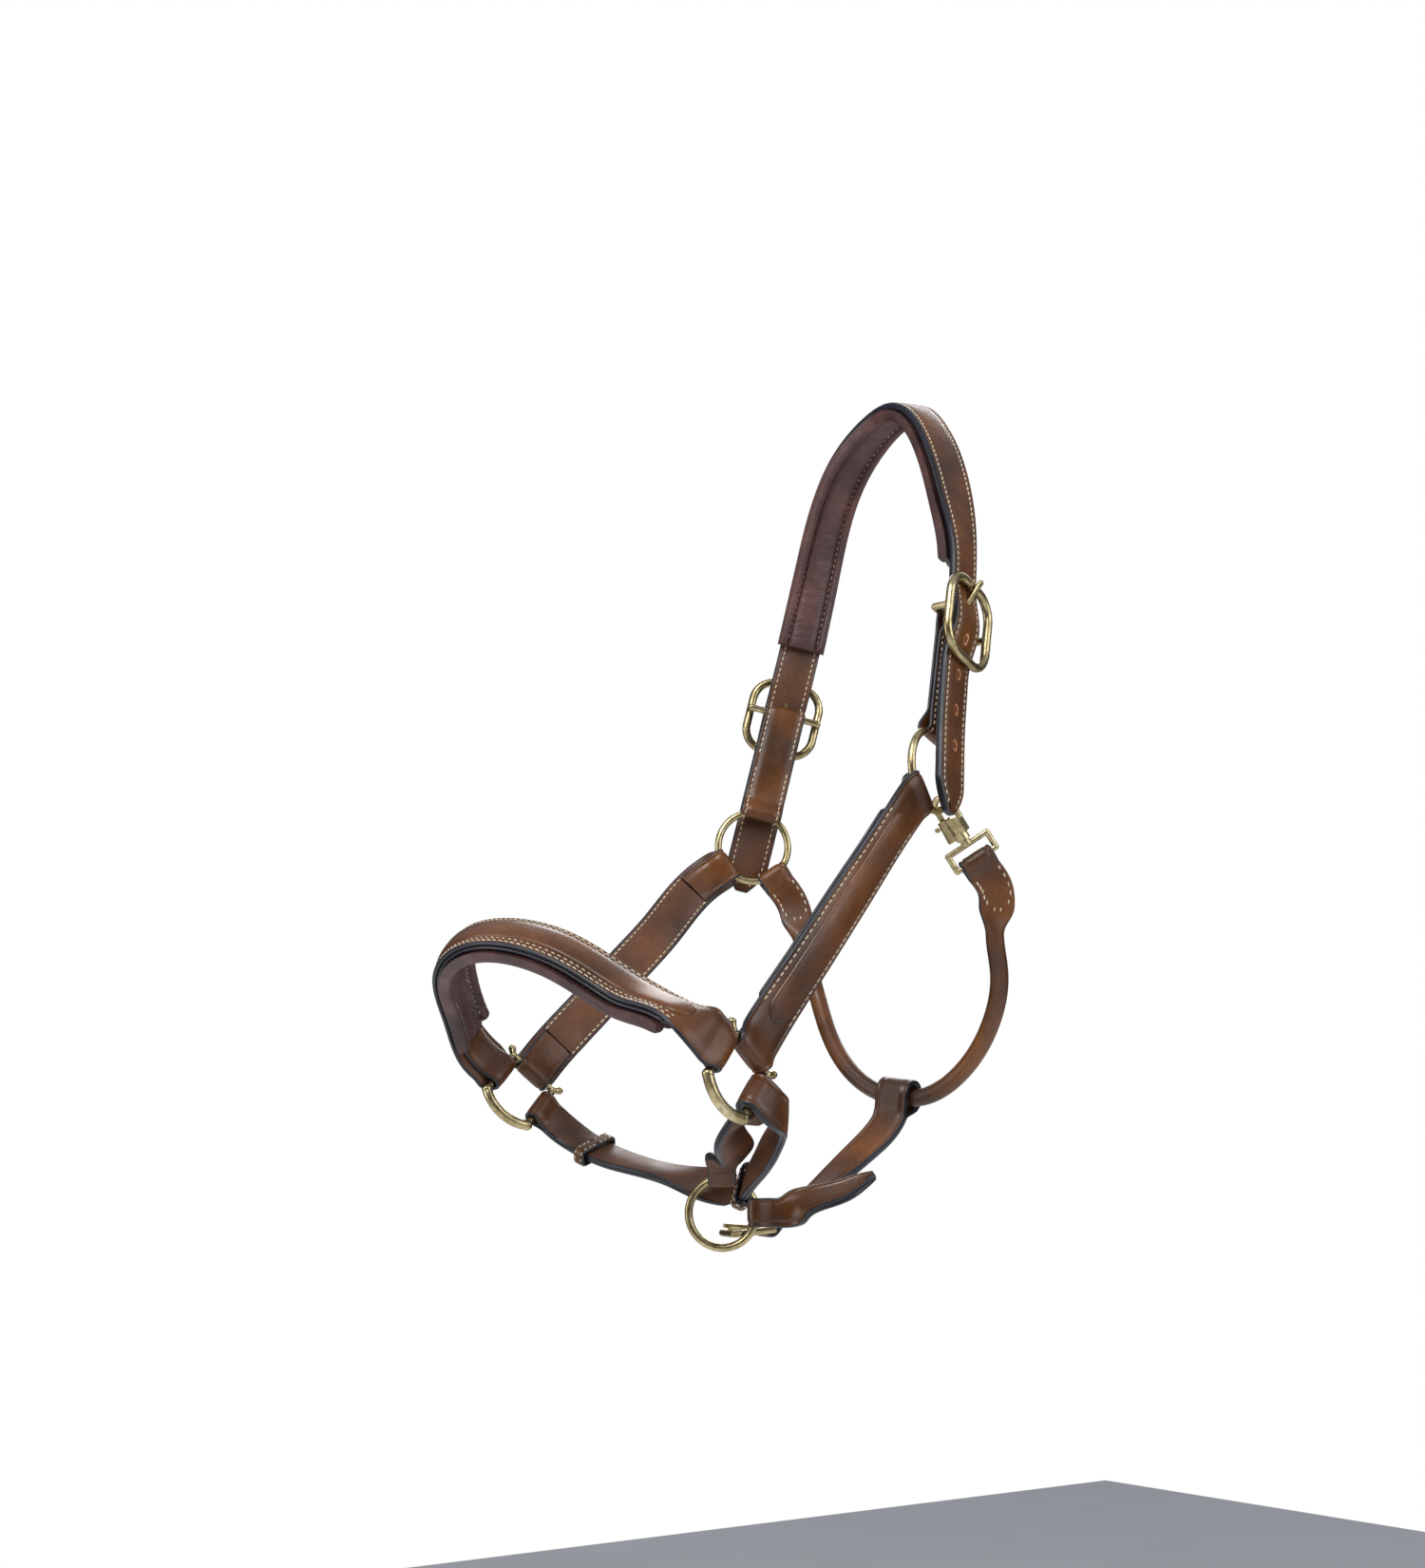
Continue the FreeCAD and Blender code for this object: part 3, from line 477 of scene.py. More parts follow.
near_bar = Frame(V(84, -37, -147), V(-0.09, 0.24, 0.967), V(0.93, 0.33, -0.12))
far_bar = Frame(V(-85, -24, -156), V(0.105, 0.228, 0.968), V(-0.87, 0.46, -0.02))
near_ring = near_bar.moved(-BAR_TO_RING, -RING_DROP)
far_ring = far_bar.moved(-BAR_TO_RING, -RING_DROP)
near_square = Frame(V(90.8, -178.3, -377.2), V(-0.10, -0.05, 0.99), V(0.96, 0.24, 0.11))
far_square = Frame(V(-92.7, -191.2, -374.9), V(-0.36, -0.02, 0.93), V(-0.93, -0.05, -0.36))


def radial(ring, radius, target):
    """The place on a ring that faces a target, looking back at the ring's centre."""
    way = target - ring.origin
    way = unit(way - ring.outward * way.dot(ring.outward))
    return Frame(ring.origin + way * radius, -way, ring.outward)


def square_bar(square, first, second):
    half = SQUARE_SIDE / math.sqrt(2)
    a = square.at(first[0] * half, 0, first[1] * half)
    b = square.at(second[0] * half, 0, second[1] * half)
    middle = (a + b) / 2
    return Frame(middle, square.origin - middle, square.outward)


def between_bars(first, second, between=()):
    """The route of a strap between two bars that its ends are folded round."""
    start, finish = first.at(-REACH - LEAD), second.at(-REACH - LEAD)
    if not between:
        turned = second.outward - first.outward
        between = [(start + (finish - start) * s, first.outward + turned * s) for s in (0.3, 0.5, 0.7)]
    return Route([(first.at(1 - REACH), first.outward), (start, first.outward)] + list(between)
                 + [(finish, second.outward), (second.at(1 - REACH), second.outward)])


# ---------------------------------------------------------------- crown

# The strap's height over each buckle bar, by distance along the bar's frame.
CROWN_HEIGHTS = {-CROWN_TAIL: 10.0, -84.0: 8.4, -55.0: 6.2, -32.0: 5.4, -21.0: 5.5, -10.0: 7.7, 0.0: 9.1,
                 10.0: 7.7, 21.0: 5.4, 36.0: 4.0}
BAR_STATION = list(CROWN_HEIGHTS).index(0.0)


def crown_stations(bar):
    return [(bar.at(along, outward), bar.outward) for along, outward in CROWN_HEIGHTS.items()]


crown_route = Route(
    crown_stations(near_bar)
    + [(V(74, -21, -74), V(0.95, 0.12, 0.31)), (V(39, -11, -11), V(0.7, 0, 0.71)),
       (V(-3, -3, 10), V(0, -0.15, 0.99)), (V(-41, -6, -9), V(-0.73, 0, 0.68)),
       (V(-74, -8, -69), V(-0.93, 0.25, 0.29))]
    + crown_stations(far_bar)[::-1])
near_distance, far_distance = crown_route.knots[BAR_STATION], crown_route.knots[-1 - BAR_STATION]
TIP_LENGTH, TIP_WIDTH = 16.0, 7.0
CROWN_GROOVE = 3.2


def crown():
    half = STRAP_THICKNESS / 2
    path = samples(crown_route, 0.0, crown_route.length, -half)
    build = Build(*CUT_LEATHER)
    end = (TIP_LENGTH, TIP_WIDTH)
    ply(build, path, STRAP_WIDTH, STRAP_THICKNESS - 0.6, CROWN_GROOVE, 0.5, tip=end, start_tip=end)
    build.piece("crown_leather", ["crown_strap"])
    offset = STRAP_WIDTH / 2 - CROWN_GROOVE

    def follow(side):
        """Keeps the row beside the edge, also where the strap narrows to a point."""
        def shift(where, total):
            t = max(0.0, 1 - min(where, total - where) / TIP_LENGTH)
            return side * (offset - (STRAP_WIDTH - TIP_WIDTH) / 2 * t ** TIP_POWER)
        return shift

    rows = [(line, follow(side), half - 0.5, 3.0, -3.0) for line in (path, flipped(path)) for side in (-1, 1)]
    stitches("crown_stitching", rows)


crown()


# ---------------------------------------------------------------- straps between fittings

# Distances from each end of a strap's route: where its plies leave the folds, where the flaps behind end,
# where the inner ply begins, and where the line that carries the stitches begins. The thread starts SEAM_START
# along that line.
PLY_START, FLAP_END, INNER_START, SEAM_LINE, SEAM_START = 3.0, 16.0, 17.0, 6.0, 10.0
# The outer ply keeps its end width for END_LENGTH from its tip, and widens over the next WIDENING.
END_LENGTH, WIDENING = 29.0, 9.0
STRAP_GROOVE, SECOND_ROW = 2.4, 5.0


def two_ply_strap(name, route, first, second, wires, width, node, rows):
    """An outer ply folded round both bars, and an inner ply between the two flaps."""
    lift = STRAP_THICKNESS / 4
    thickness = STRAP_THICKNESS / 2 - 0.05
    first_flap = flipped(samples(route, PLY_START, FLAP_END, -lift))
    second_flap = flipped(samples(route, route.length - FLAP_END, route.length - PLY_START, -lift))
    outer = (first_flap[::-1] + turn(first, wires[0] + FIT_GAP + thickness / 2, lift, REACH)[::-1]
             + samples(route, PLY_START, route.length - PLY_START, lift)
             + turn(second, wires[1] + FIT_GAP + thickness / 2, lift, REACH) + second_flap[::-1])

    def outer_wide(distance, total):
        """Narrow round the bars, full width a little further on."""
        near_end = min(distance, total - distance)
        return END_WIDTH + (width - END_WIDTH) * ease((near_end - END_LENGTH) / WIDENING)

    def inner_wide(distance, total):
        near_end = min(distance, total - distance)
        return width - 0.2 - (width - END_WIDTH) * (1 - ease(near_end / 3.0))

    build = Build(*CUT_LEATHER)
    ply(build, outer, outer_wide, thickness, STRAP_GROOVE)
    inner = samples(route, INNER_START, route.length - INNER_START, -lift)
    ply(build, inner, inner_wide, thickness - 0.1, 0.0, 0.0)
    build.piece(name, [node])

    def row_shift(side, inset):
        def shift(where, total):
            near_end = min(where, total - where)
            widened = ease((near_end + 5.0) / WIDENING)
            return side * (END_WIDTH / 2 + (width - END_WIDTH) / 2 * widened - inset)
        return shift

    front = samples(route, SEAM_LINE, route.length - SEAM_LINE, STRAP_THICKNESS / 2)
    rear = [(p - n * STRAP_THICKNESS, -n) for p, n in front]
    stitches(name + "_stitching", [(line, row_shift(side, inset), -0.1, SEAM_START, -SEAM_START)
                                   for line in (front, rear) for side, inset in rows])


RIDGE_HEIGHT, RIDGE_STEPS = 2.1, 12


def raised_centre(name, route, width, inset, node):
    """A long soft ridge, rounded at its ends, that stops short of each end of its route by inset."""
    build = Build(*CUT_LEATHER)
    path = samples(route, inset, route.length - inset, STRAP_THICKNESS / 2 + 0.1, 2.0)
    angles = [math.pi * i / RIDGE_STEPS for i in range(RIDGE_STEPS + 1)]
    arc = [(math.cos(angle), math.sin(angle)) for angle in angles]

    def section(distance, total):
        t = min(1.0, min(distance, total - distance) / 9.0)
        round_end = math.sqrt(max(0.03, 1 - (1 - t) ** 2))
        return [(x * width / 2 * round_end, y ** 0.55 * RIDGE_HEIGHT * round_end) for x, y in arc]

    build.sweep(path, section, [TOP] * len(arc), TOP)
    build.piece(name, [node], "raised_leather", smooth=60.0)


CHEEK_LEAN = V(0, -35, 25)
for side, square, ring, rear in (("near", near_square, near_ring, 1), ("far", far_square, far_ring, -1)):
    lower = square_bar(square, (1, 0), (0, rear))
    upper = radial(ring, RING_RADIUS, lower.origin + CHEEK_LEAN)
    cheek_route = between_bars(upper, lower)
    two_ply_strap(f"{side}_cheek_leather", cheek_route, upper, lower, (WIRE, SQUARE_BAR), STRAP_WIDTH,
                  f"{side}_cheek_strap", [(-1, STRAP_GROOVE), (1, STRAP_GROOVE)])
    raised_centre(f"{side}_cheek_ridge", cheek_route, width=13.0, inset=12.0,
                  node=f"{side}_cheek_raised_centre")

noseband_first = square_bar(near_square, (1, 0), (0, -1))
noseband_last = square_bar(far_square, (1, 0), (0, 1))
noseband_route = between_bars(noseband_first, noseband_last, [
    (V(62, -210, -342), V(0.68, -0.05, 0.73)), (V(30, -232, -319), V(0.4, -0.3, 0.87)),
    (V(-4, -250, -308), V(0.05, -0.5, 0.86)), (V(-50, -252, -313), V(-0.4, -0.75, 0.5)),
    (V(-84, -233, -332), V(-0.63, -0.75, 0.2))])
two_ply_strap("noseband_leather", noseband_route, noseband_first, noseband_last, (SQUARE_BAR, SQUARE_BAR),
              NOSEBAND_WIDTH, "noseband_strap", [(1, STRAP_GROOVE), (-1, STRAP_GROOVE), (-1, SECOND_ROW)])
raised_centre("noseband_ridge", noseband_route, width=16.0, inset=14.0, node="noseband_raised_centre")


# ---------------------------------------------------------------- padded linings

# The sewn groove's place, as a share of half the width, and the share of the thickness that the middle and
# the rolled edges rise from.
LINING_GROOVE, LINING_BASE = 0.6, 0.45
LINING_STEPS = 40
LINING_CLEARANCE = 0.2


def lining(name, route, start, stop, width, surface, node, wrinkles):
    """A padded lining: a roll along each edge, a sewn groove beside it, and a wrinkled middle."""
    build = Build(LINING)
    path = samples(route, start, stop, surface, 1.6)
    half = width / 2
    shape = []
    for i in range(LINING_STEPS + 1):
        x = -1 + 2 * i / LINING_STEPS
        edge = abs(x)
        if edge > LINING_GROOVE:
            t = 2 * (edge - LINING_GROOVE) / (1 - LINING_GROOVE) - 1
            depth = LINING_BASE * min(1.0, (1 - edge) * 12) + 0.55 * math.sqrt(max(0.0, 1 - t * t))
        else:
            depth = LINING_BASE + 0.38 * (1 - (edge / LINING_GROOVE) ** 4)
        shape.append((x, depth, edge))

    def section(distance, total):
        end = min(1.0, min(distance, total - distance) / 4.0)
        round_end = 0.75 + 0.25 * math.sqrt(max(0.0, 1 - (1 - end) ** 2))
        points = [(-half * 0.985, -0.2), (half * 0.985, -0.2)]
        for x, depth, edge in shape[::-1]:
            fold = 0.0
            if edge < LINING_GROOVE:
                ripple = math.sin(distance * 0.9 + 1.3 * math.sin(distance * 0.21) + 0.7 * x)
                wave = ripple * math.sin(distance * 0.37 + 2 * x)
                fold = wrinkles * wave * (1 - (edge / LINING_GROOVE) ** 2)
            points.append((x * half, -(LINING_THICKNESS * depth + fold) * round_end))
        return points

    build.sweep(path, section, [0] * (len(shape) + 2), 0)
    piece = build.piece(name, [node], "padded_lining", smooth=70.0)
    seam = half * (LINING_GROOVE + 0.02)
    rows = [(flipped(path), side * seam, LINING_THICKNESS * 0.48, 4.0, -4.0) for side in (-1, 1)]
    stitches(name + "_stitching", rows, 3.6, 2.5, 0.36)


lining("crown_padding", crown_route, near_distance + 34.0, far_distance - 42.0, STRAP_WIDTH + LINING_EXTRA,
       -STRAP_THICKNESS - LINING_CLEARANCE, "crown_lining", 0.35)
lining("noseband_padding", noseband_route, 20.0, noseband_route.length - 20.0, NOSEBAND_WIDTH + LINING_EXTRA,
       -STRAP_THICKNESS / 2 - LINING_CLEARANCE, "noseband_lining", 0.3)


# ---------------------------------------------------------------- crown chapes: doubled tabs, bar to ring

# How far back the fold at the buckle's bar closes, how far in front of the bar the front ply lies, and how
# far behind it the rear ply.
BUCKLE_REACH, CHAPE_FRONT, CHAPE_REAR = 12.0, -1.1, 3.0


def chape(side, bar):
    """One ply folded round the buckle's bar at the top and round the ring at the bottom."""
    down = Frame(bar.at(RING_RADIUS - BAR_TO_RING, -RING_DROP), -bar.along, bar.outward)
    radius = WIRE + FIT_GAP + PLY / 2
    half = (BAR_TO_RING - RING_RADIUS) / 2
    lower = turn(down, radius, CHAPE_FRONT + RING_DROP, REACH, half - REACH, CHAPE_REAR - RING_DROP)
    upper = turn(bar, radius, CHAPE_FRONT, BUCKLE_REACH, half - BUCKLE_REACH, CHAPE_REAR)
    path = lower[::-1] + upper
    build = Build(*CUT_LEATHER)
    ply(build, path, STRAP_WIDTH - 0.4, PLY - 0.1, 2.6)
    build.piece(f"{side}_chape_leather", [f"{side}_crown_chape"])
    rows = [(path, s * (STRAP_WIDTH / 2 - 2.8), PLY / 2 - 0.1, 4.0, -4.0) for s in (-1, 1)]
    stitches(f"{side}_chape_stitching", rows)


chape("near", near_bar)
chape("far", far_bar)

# The slots' distances from the buckle's bar, their half width, and the round and straight parts of their half
# length.
SLOTS = [HOLE_PITCH * (i + 0.5) for i in range(4)]
SLOT_HALF_WIDTH, SLOT_ROUND, SLOT_STRAIGHT = 2.1, 2.0, 1.7
SLOT_SIDES = 20
# The lip's rings from outside in, as (share of the slot's size, height).
SLOT_RINGS = ((1.0, 0.05), (0.86, 0.42), (0.72, 0.36), (0.5, 0.12))


def punched_slots(name, bar_distance, way):
    """Slotted holes in the crown strap, with a raised lip and a pale cut wall."""
    build = Build(FACE, HOLE)
    for slot in SLOTS:
        f = crown_route.frame(bar_distance - way * slot)
        rings = []
        for scale, height in SLOT_RINGS:
            ring = []
            for q in range(SLOT_SIDES):
                angle = math.tau * q / SLOT_SIDES
                straight = math.copysign(SLOT_STRAIGHT * scale, math.sin(angle))
                along = math.sin(angle) * SLOT_ROUND * scale + straight
                ring.append(f.at(along, height, math.cos(angle) * SLOT_HALF_WIDTH * scale))
            rings.append(build.ring_of(ring))
        for a, b, kind in zip(rings, rings[1:], (0, 1, 1)):
            build.bridge(a, b, [kind] * SLOT_SIDES)
        build.cap(rings[-1], 1, False)
        build.cap(rings[0], 0, True)
    build.piece(name, slot=None)


punched_slots("near_crown_slots", near_distance, 1)
punched_slots("far_crown_slots", far_distance, -1)


# ---------------------------------------------------------------- throat strap

def end_fold(build, bar, wire, width, half, reach=SHORT_REACH, thick=None):
    """The bight of a doubled end, from its front face round the bar to its back face."""
    thick = thick or half - 0.02
    ply(build, turn(bar, wire + FIT_GAP + thick / 2, half - thick / 2, reach), width, thick, 2.2, 0.2)


ROLL_RADIUS, END_THICKNESS, EYE_BOTTOM, EYE_WIRE = 4.6, 3.8, 31.0, 1.5
ROLL_POINTS = [V(81, -16, -302), V(77, -10, -322), V(62, -3, -346), V(40, -3, -368), V(18, -11.5, -382.5),
               V(-13, -25, -377), V(-36, -28.5, -357), V(-54, -25, -333), V(-66, -23, -309),
               V(-73, -24.5, -288)]
eye_target = V(86, -30, -268)
snap_seat = radial(near_ring, RING_RADIUS, eye_target)
eye_frame = Frame(snap_seat.origin, eye_target - snap_seat.origin, V(0.85, -0.5, -0.15))
throat_way = eye_frame.at(EYE_BOTTOM) - ROLL_POINTS[0]
throat_way = throat_way - eye_frame.across * throat_way.dot(eye_frame.across)
throat_near = Frame(eye_frame.at(EYE_BOTTOM), throat_way, np.cross(eye_frame.across, throat_way))
throat_far = radial(far_ring, RING_RADIUS, V(-79, -22, -272))


def carried(points, first, last):
    """Face directions carried along points without twist, then turned evenly so that they end at last."""
    directions, ways = [first], []
    for i, point in enumerate(points):
        ways.append(unit(points[min(i + 1, len(points) - 1)] - points[max(i - 1, 0)]))
    for way in ways[1:]:
        direction = directions[-1] - way * directions[-1].dot(way)
        directions.append(unit(direction))
    side = np.cross(ways[-1], directions[-1])
    angle = math.atan2(last.dot(side), last.dot(directions[-1]))
    found = []
    for i, (point, direction, way) in enumerate(zip(points, directions, ways)):
        turned = angle * ease((i - 2) / (len(points) - 5))
        found.append((point, direction * math.cos(turned) + np.cross(way, direction) * math.sin(turned)))
    return found


def rounded_corners(points):
    """The points that a tube passes when each corner is cut by an arc."""
    found = [points[0]]
    for a, b, c in zip(points, points[1:], points[2:]):
        reach = 0.45 * min(np.linalg.norm(b - a), np.linalg.norm(c - b))
        found.append(b * 0.5 + (b - unit(b - a) * reach + b + unit(c - b) * reach) * 0.25)
    return found + [points[-1]]


# The roll's outline has ROLL_SIDES faces. Painted edges show on FLAT_EDGES of them at the flat ends, and the
# roll's seam on ROLL_SEAM.
ROLL_SIDES = 28
FLAT_EDGES, ROLL_SEAM = (0, 1, 26, 27, 12, 13, 14, 15), (13, 14)
# The share of a flat end that is stitched, and the share over which it narrows into the roll.
STITCHED, NARROWING = 0.75, 0.45


def throat():
    """Flat doubled ends that narrow into a rolled middle."""
    near_start, far_start = throat_near.at(1 - SHORT_REACH), throat_far.at(1 - SHORT_REACH)
    points = ([near_start, throat_near.at(-18.0)] + rounded_corners(ROLL_POINTS)
              + [throat_far.at(-18.0), far_start])
    route = Route(carried(points, throat_near.outward, throat_far.outward))
    path = samples(route, 0.0, route.length, 0.0, 2.0)
    steps = distances(path)
    total = steps[-1]
    near_flat = np.linalg.norm(ROLL_POINTS[0] - near_start)
    far_flat = np.linalg.norm(ROLL_POINTS[-1] - far_start)

    def flatness(distance):
        """1 on the flat ends and 0 on the roll."""
        near = ease((near_flat + 3.0 - distance) / (near_flat * NARROWING))
        far = ease((far_flat + 3.0 - (total - distance)) / (far_flat * NARROWING))
        return max(near, far)

    def section(distance, _):
        flat = flatness(distance)
        wide = ROLL_RADIUS + (THROAT_END_WIDTH / 2 - ROLL_RADIUS) * flat
        deep = ROLL_RADIUS + (END_THICKNESS / 2 - ROLL_RADIUS) * flat
        power = 1.0 - 0.72 * flat
        outline = []
        for q in range(ROLL_SIDES):
            c, s = math.cos(math.tau * q / ROLL_SIDES), math.sin(math.tau * q / ROLL_SIDES)
            x, y = math.copysign(abs(c) ** power, c), math.copysign(abs(s) ** power, s)
            outline.append((x * wide, y * deep))
        return outline

    def kinds(i):
        edges = FLAT_EDGES if flatness(steps[i]) > 0.5 else ROLL_SEAM
        return [RIM if q in edges else TOP for q in range(ROLL_SIDES)]

    build = Build(*CUT_LEATHER)
    build.sweep(path, section, kinds)
    end_fold(build, throat_near, EYE_WIRE, THROAT_END_WIDTH, END_THICKNESS / 2)
    end_fold(build, throat_far, WIRE, THROAT_END_WIDTH, END_THICKNESS / 2)
    build.piece("throat_leather", ["throat_roll", "throat_near_end", "throat_far_end"])

    def follow(side, length):
        """Draws the two rows together where the flat end narrows."""
        def shift(where, _):
            near_end = min(where, total - where)
            return side * (THROAT_END_WIDTH / 2 - 2.2) * (1 - ease((near_end - length + 8.0) / 9.0))
        return shift

    near_seam, far_seam = near_flat * STITCHED, far_flat * STITCHED
    height = END_THICKNESS / 2 - 0.15
    rows = []
    for line in (path, flipped(path)):
        for side in (-1, 1):
            rows.append((line, follow(side, near_seam), height, 1.0, near_seam))
            rows.append((line, follow(side, far_seam), height, total - far_seam, -1.0))
    stitches("throat_stitching", rows)


throat()


# ---------------------------------------------------------------- chin straps, billet and jowl strap

CHIN_THICKNESS, TIE_END_WIDTH = 3.8, 14.0
CHIN_HALF = CHIN_THICKNESS / 2
tie_ring = Frame(V(0, -128, -438), V(0, 0, 1), V(0.84, -0.54, 0))
tie_top = Frame(tie_ring.at(TIE_RING_RADIUS), tie_ring.outward * -0.87 + V(0, 0, -0.5), V(0, 0, 1))
tie_rear = Frame(tie_ring.at(0, 0, TIE_RING_RADIUS), -tie_ring.across, tie_ring.outward)


def plain_strap(name, path, node, start_width, tip, folds):
    """A doubled strap along a path, widening from start_width, with folds as end_fold takes them."""
    build = Build(*CUT_LEATHER)

    def wide(distance, _):
        return start_width + (CHIN_WIDTH - start_width) * ease(distance / 16.0)

    ply(build, path, wide, CHIN_THICKNESS, 2.4, 0.25, tip=tip)
    for fold in folds:
        end_fold(build, *fold)
    build.piece(name, [node])


# Tips as (length, end width).
BLUNT_TIP, POINTED_TIP = (6.0, 13.0), (14.0, 5.0)

far_chin_bar = square_bar(far_square, (0, -1), (-1, 0))
far_chin_route = Route([
    (far_chin_bar.at(-SHORT_REACH), far_chin_bar.outward), (far_chin_bar.at(-14.0), far_chin_bar.outward),
    (V(-62, -157, -409), V(-0.72, 0.1, -0.68)), (tie_ring.at(18, -14.5, -22), V(-0.45, 0.25, -0.86)),
    (tie_ring.at(14, -10.5, -8), V(-0.72, 0.45, -0.5)), (tie_ring.at(12, -7.8, 7), -tie_ring.outward)])
plain_strap("far_chin_leather", samples(far_chin_route, 0.0, far_chin_route.length), "far_chin_strap",
            CHIN_WIDTH, BLUNT_TIP, [(far_chin_bar, SQUARE_BAR, CHIN_WIDTH, CHIN_HALF)])

near_chin_bar = square_bar(near_square, (0, 1), (-1, 0))
WRAP = SQUARE_BAR + FIT_GAP + CHIN_HALF
inner_leg = Route([
    (tie_top.at(-SHORT_REACH), tie_top.outward), (tie_top.at(-14.0), tie_top.outward),
    (V(50, -152.7, -409), V(-0.6, -0.4, 0.7)), (V(74, -168, -398), V(-0.85, -0.4, 0.3)),
    (near_chin_bar.at(-7.0, -WRAP), -near_chin_bar.outward),
    (near_chin_bar.at(0.0, -WRAP), -near_chin_bar.outward)])
outer_leg = Route([
    (near_chin_bar.at(0.0, WRAP), near_chin_bar.outward),
    (near_chin_bar.at(-8.0, WRAP + 1.0), near_chin_bar.outward),
    (V(83, -148.5, -396), V(0.7, 0.6, 0)), (V(66, -143, -406), V(0.5, 0.85, 0)),
    (V(40, -135, -417.5), V(0.47, 0.84, -0.2)), (V(17, -127.5, -427), V(0.45, 0.83, -0.34))])
bight = []
for step in range(1, BEND_STEPS):
    angle = math.pi * (step / BEND_STEPS - 0.5)
    way = near_chin_bar.along * math.cos(angle) + near_chin_bar.outward * math.sin(angle)
    bight.append((near_chin_bar.origin + way * WRAP, way))
near_chin_path = samples(inner_leg, 0.0, inner_leg.length) + bight + samples(outer_leg, 0.0, outer_leg.length)
plain_strap("near_chin_leather", near_chin_path, "near_chin_strap", TIE_END_WIDTH, BLUNT_TIP,
            [(tie_top, WIRE, TIE_END_WIDTH, CHIN_HALF)])

billet_route = Route([
    (tie_rear.at(-SHORT_REACH), tie_ring.outward), (tie_rear.at(-13.0), tie_ring.outward),
    (tie_ring.at(5, 5, 42), V(0.43, -0.6, 0.67)), (tie_ring.at(9, 11, 56), V(0.25, -0.5, 0.83)),
    (tie_ring.at(17, 18, 73), V(0.23, -0.46, 0.86))])
plain_strap("billet_leather", samples(billet_route, 0.0, billet_route.length), "chin_billet", TIE_END_WIDTH,
            POINTED_TIP, [(tie_rear, WIRE, TIE_END_WIDTH, CHIN_HALF)])

chin_buckle = Frame(V(-5, -99, -446), V(-0.25, -0.96, -0.1), V(0, -0.1, 1))
roll_way = unit(ROLL_POINTS[4] - ROLL_POINTS[5])
jowl_tip = V(0, 0.6, 0.8) - roll_way * V(0, 0.6, 0.8).dot(roll_way)
jowl_wrap = Frame((ROLL_POINTS[4] + ROLL_POINTS[5]) / 2, jowl_tip, np.cross(roll_way, jowl_tip))
jowl_down = Frame(chin_buckle.origin, chin_buckle.along + V(0, 0, -0.5), chin_buckle.outward)
jowl_route = Route([
    (jowl_wrap.at(-9.0), jowl_wrap.outward), (jowl_wrap.at(-17.0), jowl_wrap.outward),
    (V(2, -43, -408), V(0.35, -0.6, 0.7)), (V(0, -60, -421), V(0.2, -0.6, 0.8)),
    (jowl_down.at(-16.0), jowl_down.outward), (jowl_down.at(-SHORT_REACH), jowl_down.outward)])
# The jowl strap's ply where it goes round the roll, its gap from the roll, and the wire of the buckle at its
# foot.
JOWL_PLY, JOWL_GAP, CHIN_BUCKLE_WIRE = 3.0, 1.8, 1.7
plain_strap("jowl_leather", samples(jowl_route, LEAD, jowl_route.length), "jowl_strap", CHIN_WIDTH, None,
            [(jowl_wrap, ROLL_RADIUS + JOWL_GAP - FIT_GAP, CHIN_WIDTH, CHIN_HALF, 13.0, JOWL_PLY),
             (jowl_down, CHIN_BUCKLE_WIRE, CHIN_WIDTH, CHIN_HALF)])

KEEPER_WIDTH, KEEPER_THICKNESS, KEEPER_BEND = 7.0, 1.6, 2.2


def keeper(name, route, distance, gap, node, body):
    """A leather loop round a strap, sewn near both its edges."""
    where = route.frame(distance)
    w = CHIN_WIDTH / 2 + gap + KEEPER_THICKNESS / 2
    h = CHIN_HALF + gap + KEEPER_THICKNESS / 2
    path = [(where.at(0, -h, 0), -where.outward)]
    for sx, sy, first in ((1, -1, -90), (1, 1, 0), (-1, 1, 90), (-1, -1, 180)):
        corner = where.at(0, sy * (h - KEEPER_BEND), sx * (w - KEEPER_BEND))
        for k in range(5):
            angle = math.radians(first + 90 * k / 4)
            way = where.across * math.cos(angle) + where.outward * math.sin(angle)
            path.append((corner + way * KEEPER_BEND, way))
    path.append(path[0])
    build = Build(*CUT_LEATHER)
    ply(build, path, KEEPER_WIDTH, KEEPER_THICKNESS, 1.6, 0.15)
    build.piece(name, [node], body=body)
    rows = [(path, s * 2.1, KEEPER_THICKNESS / 2 - 0.1, 1.0, -1.0) for s in (-1, 1)]
    stitches(name + "_stitching", rows, 3.0, 2.1, 0.34, body)


keeper("far_keeper_leather", far_chin_route, 30.0, 1.1, "far_chin_keeper", "far_keeper")
keeper("near_keeper_leather", outer_leg, outer_leg.length - 4.5, 0.5, "near_chin_keeper", "near_keeper")


# ---------------------------------------------------------------- hardware

LOOKS = {"antique_brass": BRASS, "spring_steel": STEEL, "padded_lining": LINING, "strap_leather": FACE,
         "raised_leather": FACE, "cord_core": THREAD}
for name, thing in frame["nodes"].items():
    slot = next(s["material_slot"] for s in frame["record"]["subparts"] if s["node"] == name)
    thing.data.materials.clear()
    thing.data.materials.append(LOOKS[slot])


# ---------------------------------------------------------------- stage, light and camera

def area_light(name, place, target, size, power, colour=(1, 1, 1)):
    data = bpy.data.lights.new(name, "AREA")
    data.energy, data.size, data.color = power, size, colour
    light = bpy.data.objects.new(name, data)
    light.location = place
    light.rotation_mode = "QUATERNION"
    light.rotation_quaternion = (Vector(target) - Vector(place)).to_track_quat("-Z", "Y")
    bpy.context.scene.collection.objects.link(light)


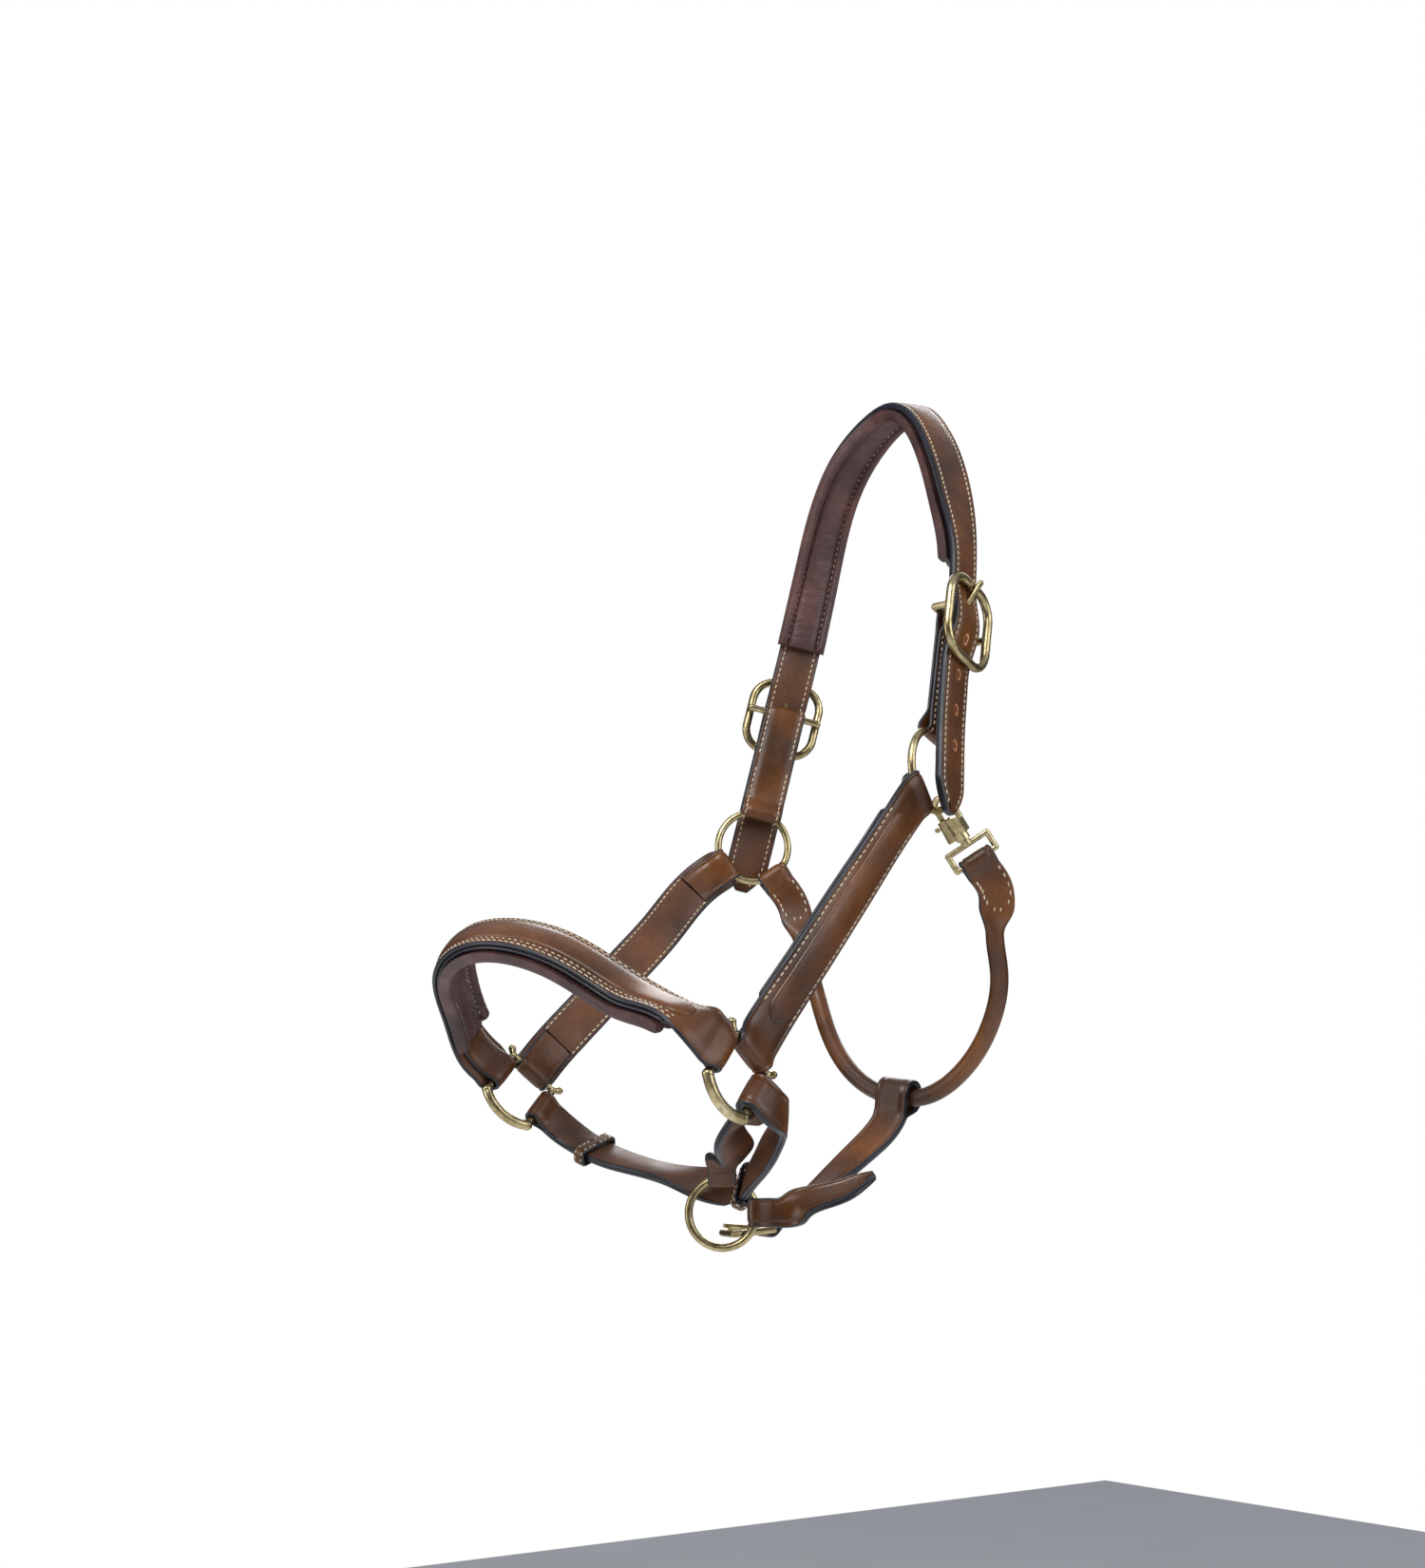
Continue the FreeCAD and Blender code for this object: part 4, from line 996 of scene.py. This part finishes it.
def floor():
    mesh = bpy.data.meshes.new("floor")
    size, height = 3.2, -1.2
    corners = [(-size, -size, height), (size, -size, height), (size, size, height), (-size, size, height)]
    mesh.from_pydata(corners, [], [(0, 1, 2, 3)])
    thing = bpy.data.objects.new("floor", mesh)
    material, tree, shader = node_material("floor_look", 0.8)
    tree.links.new(ramp(tree, noise(tree, 3), [(0.3, 0.78), (0.7, 0.82)]), shader.inputs["Base Color"])
    mesh.materials.append(material)
    bpy.context.scene.collection.objects.link(thing)


def sky():
    """White where the camera looks past the part, and a dim grey gradient in what the part reflects."""
    world = bpy.data.worlds.new("studio")
    bpy.context.scene.world = world
    world.use_nodes = True
    tree = world.node_tree
    back = tree.nodes["Background"]
    rays = tree.nodes.new("ShaderNodeLightPath")
    white = tree.nodes.new("ShaderNodeBackground")
    white.inputs["Color"].default_value = (1, 1, 1, 1)
    white.inputs["Strength"].default_value = 1.0
    place = tree.nodes.new("ShaderNodeTexCoord")
    split = tree.nodes.new("ShaderNodeSeparateXYZ")
    tree.links.new(place.outputs["Generated"], split.inputs["Vector"])
    tones = [(0.0, linear(70, 66, 62)), (0.35, linear(120, 124, 132)), (0.8, linear(225, 230, 240))]
    tree.links.new(ramp(tree, split.outputs["Z"], tones), back.inputs["Color"])
    back.inputs["Strength"].default_value = 0.55
    choose = tree.nodes.new("ShaderNodeMixShader")
    tree.links.new(rays.outputs["Is Camera Ray"], choose.inputs["Fac"])
    tree.links.new(back.outputs["Background"], choose.inputs[1])
    tree.links.new(white.outputs["Background"], choose.inputs[2])
    tree.links.new(choose.outputs["Shader"], tree.nodes["World Output"].inputs["Surface"])


CAMERA_PLACE = (0.79988, -0.65287, -0.4288)
LENS = 43.9


def camera():
    azimuth, pitch, roll = math.radians(56.85), math.radians(12.1), math.radians(-0.77)
    forward = Vector((-math.sin(azimuth) * math.cos(pitch), math.cos(azimuth) * math.cos(pitch),
                      math.sin(pitch)))
    right = Vector((math.cos(azimuth), math.sin(azimuth), 0))
    up = right.cross(forward)
    side = right * math.cos(roll) + up * math.sin(roll)
    top = up * math.cos(roll) - right * math.sin(roll)
    data = bpy.data.cameras.new("camera")
    data.sensor_width, data.lens = 36.0, LENS
    data.clip_start, data.clip_end = 0.05, 20.0
    thing = bpy.data.objects.new("camera", data)
    turned = Matrix((side, top, -forward)).transposed().to_4x4()
    thing.matrix_world = Matrix.Translation(CAMERA_PLACE) @ turned
    bpy.context.scene.collection.objects.link(thing)
    bpy.context.scene.camera = thing


floor()
sky()
CENTRE = (0, -0.1, -0.22)
area_light("key", (0.9, -1.5, 1.1), CENTRE, 1.2, 34)
area_light("fill", (1.6, 0.6, 0.2), CENTRE, 1.4, 16, (0.95, 0.97, 1))
area_light("front", (-0.6, -1.9, -0.1), CENTRE, 1.2, 12)
area_light("back", (-1.4, 1.3, 0.8), CENTRE, 1.4, 30)
camera()
bpy.context.scene.view_settings.view_transform = "Standard"
